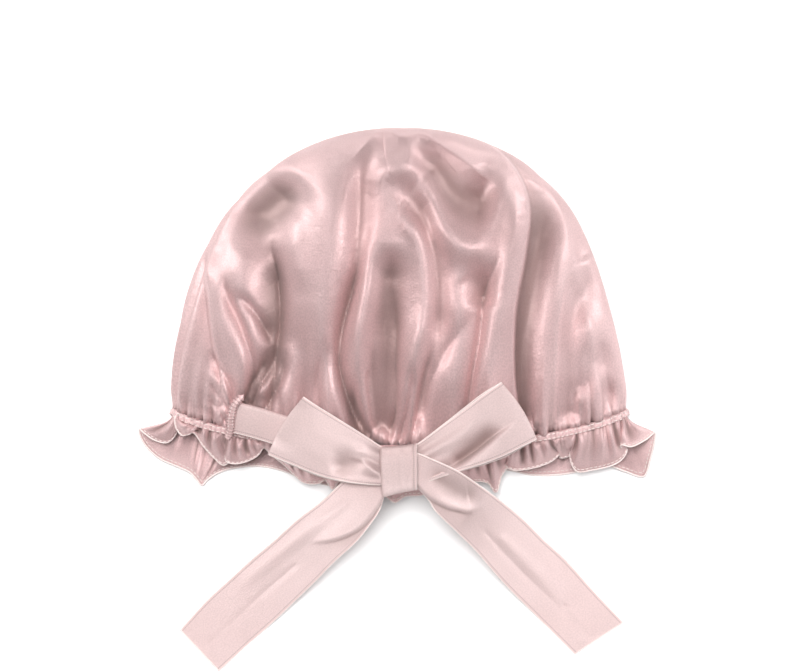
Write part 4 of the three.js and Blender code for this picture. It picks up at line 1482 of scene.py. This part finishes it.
@dataclass
class BowKnot:
    """The band of ribbon wrapped once round the middle of the bow."""

    wardrobe: Wardrobe
    centre: Point
    width: float = 20.0
    height: float = 27.0
    depth: float = 17.0
    waist: float = 0.03
    squareness: float = 0.86
    taper: float = 0.043
    lean: float = -0.06
    slope: float = 1.6
    wall: float = 0.8
    rows: int = 60
    columns: int = 180
    pleats: float = 0.12
    ribbon_width: float = 34.0

    def build(self) -> Piece:
        """A superellipse standing in the plane of the bow's height and depth, carried across the knot.

        Each side's half size is multiplied by a cosine or sine raised to the squareness. The waist
        draws the middle in, the taper makes the left side taller, the left side leans, and the whole
        slopes up to the right. Pleats run round it. Its left edge is turned under. Shade is painted
        along its top and its bottom, where it curves back.

        Returns:
            The knot's piece.
        """
        turn = 2 * np.pi * np.arange(self.columns) / self.columns
        share = np.linspace(-1, 1, self.rows + 1)
        swell = 1 - self.waist * (1 - share**2) - self.taper * share
        tall = self.height / 2 * powered(np.cos(turn), self.squareness)
        deep = self.depth / 2 * powered(np.sin(turn), self.squareness)
        pleat = np.sin(2 * np.pi * (share * 1.3 + 0.2)) + 0.6 * np.sin(2 * np.pi * (share * 2.6 - 0.1))
        front = np.maximum(np.sin(turn), 0)
        lip = 1.0 * np.exp(-(((share - 0.9) / 0.09) ** 2))
        out = (self.pleats * pleat * (1 - np.abs(share) ** 4) + lip)[:, None] * front[None, :] ** 0.5
        turned = np.clip((-0.86 - share) / 0.14, 0, 1) ** 2
        y = tall[None, :] * (swell - 0.1 * turned)[:, None] + self.slope * share[:, None]
        z = deep[None, :] * (1 - 0.10 * share[:, None] ** 2 - 0.25 * turned[:, None]) + out
        x = share[:, None] * self.width / 2 + self.lean * y * (1 - share[:, None]) / 2
        grid = np.array(self.centre) + np.stack([x, y, z], axis=-1)
        steps = np.hypot(np.diff(np.r_[tall, tall[0]]), np.diff(np.r_[deep, deep[0]]))
        perimeter = np.r_[0.0, np.cumsum(steps)]
        across = self.ribbon_width - self.width * (1 - share) / 2
        uv = cloth_map(perimeter[None, :], across[:, None])
        # Painted shade along the knot's top and bottom, where the band curves back out of the light.
        top, bottom = smooth((np.cos(turn) - 0.4) / 0.5), smooth((-np.cos(turn) - 0.6) / 0.4)
        hollow = np.broadcast_to(0.42 * top + 0.2 * bottom, y.shape)
        shell = cloth_wall(grid, uv, self.wall, ring=True, hollow=hollow)
        piece = make_piece(
            "wrapped_knot", [shell], [self.wardrobe.ribbon, self.wardrobe.ribbon],
            "bow_knot",
        )
        bead = self.wall * 0.62 * (1 + 0.18 * np.sin(2 * np.pi * perimeter[:-1] / 1.15))
        cord = tube(grid[-1], bead, 5, closed=True)
        edges = make_piece(
            "wrapped_knot_selvedges", [cord], [self.wardrobe.edge_thread], "bow_knot"
        )
        return piece


@dataclass
class Studio:
    """The table, the lights and the camera."""

    view_width: float = 0.46
    distance: float = 2.4
    look_at: Point = (-0.00115, -0.0293, 0.03)
    sensor: float = 36.0
    key: float = 5.0
    overhead: float = 3.88
    overhead_spread: float = 23.0
    fill: float = 6.0
    ambient: float = 0.12
    backdrop: float = 1.0

    def table(self) -> None:
        """A wide pale table with its face at the height of the part's rest."""
        half = 6.0
        mesh = bpy.data.meshes.new("table")
        corners = [(-half, -half, 0), (half, -half, 0), (half, half, 0), (-half, half, 0)]
        mesh.from_pydata(corners, [], [(0, 1, 2, 3)])
        mesh.materials.append(FloorFinish().material())
        table = bpy.data.objects.new("table", mesh)
        bpy.context.scene.collection.objects.link(table)

    def _hang(self, name: str, data: bpy.types.Light, place: Point) -> None:
        """Hangs a lamp so that it looks at the bonnet's middle.

        Args:
            name: the lamp's name.
            data: its light.
            place: where it hangs, in metres.
        """
        lamp = bpy.data.objects.new(name, data)
        lamp.location = place
        lamp.rotation_euler = (Vector((0, 0, 0.03)) - Vector(place)).to_track_quat("-Z", "Y").to_euler()
        bpy.context.scene.collection.objects.link(lamp)

    def light(self, name: str, place: Point, size: float, power: float, tint: Point) -> None:
        """A square soft light that looks at the bonnet's middle."""
        data = bpy.data.lights.new(name, "AREA")
        data.shape, data.size, data.energy, data.color = "DISK", size, power, tint
        self._hang(name, data, place)

    def sky_panel(self, place: Point) -> None:
        """A wide far panel overhead, a sun with a soft edge, so that the whole table is evenly lit."""
        data = bpy.data.lights.new("overhead_light", "SUN")
        data.energy, data.angle = self.overhead, math.radians(self.overhead_spread)
        self._hang("overhead_light", data, place)

    def build(self) -> None:
        """Lays the table, hangs the lights and places the camera straight above."""
        self.table()
        self.light("key_light", (-0.95, 0.75, 1.15), 1.1, self.key, (1.0, 0.985, 0.97))
        self.sky_panel((-0.10, 0.28, 2.0))
        self.light("fill_light", (1.3, -0.4, 0.7), 0.8, self.fill, (0.97, 0.985, 1.0))
        world = bpy.data.worlds.new("soft_room")
        world.use_nodes = True
        background = world.node_tree.nodes["Background"]
        background.inputs[0].default_value = (1.0, 1.0, 1.0, 1.0)
        seen = world.node_tree.nodes.new("ShaderNodeLightPath").outputs["Is Camera Ray"]
        strength = world.node_tree.nodes.new("ShaderNodeMapRange")
        strength.inputs["To Min"].default_value = self.ambient
        strength.inputs["To Max"].default_value = self.backdrop
        world.node_tree.links.new(seen, strength.inputs["Value"])
        world.node_tree.links.new(strength.outputs[0], background.inputs[1])
        scene = bpy.context.scene
        scene.world = world
        scene.view_settings.view_transform = "Standard"
        data = bpy.data.cameras.new("camera")
        data.sensor_width = self.sensor
        data.lens = self.sensor * (self.distance - self.look_at[2]) / self.view_width
        camera = bpy.data.objects.new("camera", data)
        camera.location = (self.look_at[0], self.look_at[1], self.distance)
        scene.collection.objects.link(camera)
        scene.camera = camera


# ---------------------------------------------------------------- the bow's own measures

LEFT_TAIL = dict(
    upper=((-15, -101), (-25, -107), (-33, -112), (-44.6, -123), (-60, -135), (-73, -147),
           (-87, -159), (-100, -171),
           (-113, -183), (-129, -200.4)),
    lower=((-9, -112), (-10.3, -120), (-13, -128.6), (-17, -135), (-26, -146.6), (-39, -159), (-50, -170.7),
           (-62, -182.7), (-74, -194.5), (-87, -206.2), (-106.6, -224)),
    heights=((0, 54, 54), (0.1, 52, 53), (0.22, 47, 47), (0.36, 37, 34), (0.52, 21, 18), (0.68, 8, 6),
           (0.82, 1.2, 1.0), (1, 1.0, 1.6)),
    folds=(
        Fold("tucked half", L, 9, -7,
             ((-9, -117), (-12.6, -125), (-24, -139), (-38, -146), (-54, -149)), 0.4),
        Fold("middle crease", S, 1.4, -0.5, ((-62, -162), (-80, -178), (-104, -201), (-116, -211)), 0.1),
        Fold("side light", R, 4, 0.7, ((-34, -126), (-60, -146), (-84, -166), (-104, -184)), 0.4),
    ),
)
RIGHT_TAIL = dict(
    upper=((2, -94), (8.5, -95.6), (18, -99.5), (30.6, -105.2), (42.6, -113.3), (53.6, -121.5),
           (69.5, -135), (81.5, -147.2),
           (94.6, -159.3), (110.6, -177), (128.6, -196)),
    lower=((2, -110), (8.5, -115), (15.3, -122.6), (19, -128.6), (31, -140.6), (42.7, -152.7),
           (52.7, -164.8),
           (63.3, -176.8), (75, -188.7), (86.7, -200.4), (100.7, -214.3)),
    heights=((0, 64, 60), (0.08, 67, 60), (0.2, 69, 55), (0.3, 60, 47), (0.4, 44, 37), (0.52, 27, 24),
           (0.66, 11, 9), (0.82, 1.6, 1.2), (1, 1.0, 1.0)),
    folds=(
        Fold("lip", L, 8, 6.5,
             ((8, -114), (14, -120), (24.3, -126), (31, -128.2), (39, -129.4), (46, -126)), 0.3),
        Fold("lip hollow", R, 9, -4, ((22, -112), (34, -119), (44, -126)), 0.4),
        Fold("side light", R, 4, 0.7, ((58, -146), (80, -168), (100, -188)), 0.4),
        Fold("end crease", S, 1.5, -0.8, ((94, -186), (104, -197), (113, -206)), 0.2),
        Fold("middle crease", S, 1.4, -0.5, ((48, -142), (68, -164), (92, -188), (110, -206)), 0.2),
    ),
)
LEFT_LOOP = dict(
    back_shift=(-0.5, -1.5),
    upper=((-8, -95), (-11.8, -92.3), (-23.9, -84.2), (-35.8, -76.6), (-48.9, -68.4), (-55.6, -63.9)),
    lower=((-7, -113), (-10.4, -113.6), (-19.6, -113.2), (-32.6, -111.5), (-46.6, -108),
           (-62.9, -101.5), (-75.6, -96.3)),
    rise=(72.0, 64.0),
    folds=(
        Fold("dent at the knot", R, 6, -4.0, ((-24, -101), (-32, -102), (-42, -105)), 0.5),
        Fold("ridge at the knot", S, 3.0, 4.0,
             ((-10, -112), (-14, -108), (-19, -103), (-25, -98.5), (-34, -97)), 0.5),
        Fold("hollow at the knot", R, 4, -2.5, ((-10, -104), (-16, -99), (-24, -93)), 0.6),
        Fold("end hollow", R, 9, -1.5, ((-60, -70), (-66, -82), (-72, -94))),
    ),
)
RIGHT_LOOP = dict(
    upper=((4, -93), (8.7, -90.8), (22, -81), (35, -71.2), (46, -62.6), (56, -55.7)),
    lower=((5, -113), (10, -113.2), (22, -109), (34.5, -104.8), (45, -101.5), (56, -97.4),
           (68, -91.5), (76, -87.6)),
    rise=(73.0, 65.0),
    back_shift=(0.0, -0.6),
    back_widen=0.1,
    folds=(
        Fold("long dent", L, 8, -7, ((24, -106), (33, -102), (44, -94), (56, -84), (66, -76)), 0.4),
        Fold("dent hollow", R, 5, -4.5, ((33, -99), (44, -91), (56, -80)), 0.4),
        Fold("dent ridge", R, 5, 2.0, ((12, -98), (30, -88), (42, -76), (48, -68)), 0.4),
    ),
)


def main() -> None:
    """Builds the bonnet, piece by piece, then the table, the lights and the camera."""
    logging.basicConfig(level=logging.INFO, format="%(name)s: %(message)s")
    wardrobe = Wardrobe.make()
    form = BonnetForm.from_frame()
    crown = Crown(form, wardrobe)
    dome = crown.build()
    Casing(form, wardrobe).build()
    Frill(form, wardrobe).build()
    left_line = ((-95.5, -75.5, 44), (-80, -79.5, 46.5), (-62, -85.5, 49), (-36, -96, 49), (-8, -102, 50))
    right_line = ((60, -88, 47), (42, -93, 48), (24, -98, 49), (4, -102, 50))
    DrawstringRun(wardrobe, "drawstring_left", "ribbon_run_left", line=left_line).build()
    DrawstringRun(wardrobe, "drawstring_right", "ribbon_run_right", line=right_line).build()
    BowLoop(wardrobe, "satin_loop_left", "bow_loop_left", **LEFT_LOOP).build()
    BowLoop(wardrobe, "satin_loop_right", "bow_loop_right", **RIGHT_LOOP).build()
    low, high = node_box("bow_knot")
    knot_place = (low + high) / 2 + np.array([0.1, 0.0, 3.0])
    BowKnot(wardrobe, tuple(knot_place.tolist())).build()
    BowTail(wardrobe, "satin_tail_left", "tail_left", **LEFT_TAIL).build()
    BowTail(wardrobe, "satin_tail_right", "tail_right", **RIGHT_TAIL).build()
    Studio().build()


if __name__ == "__main__":
    main()
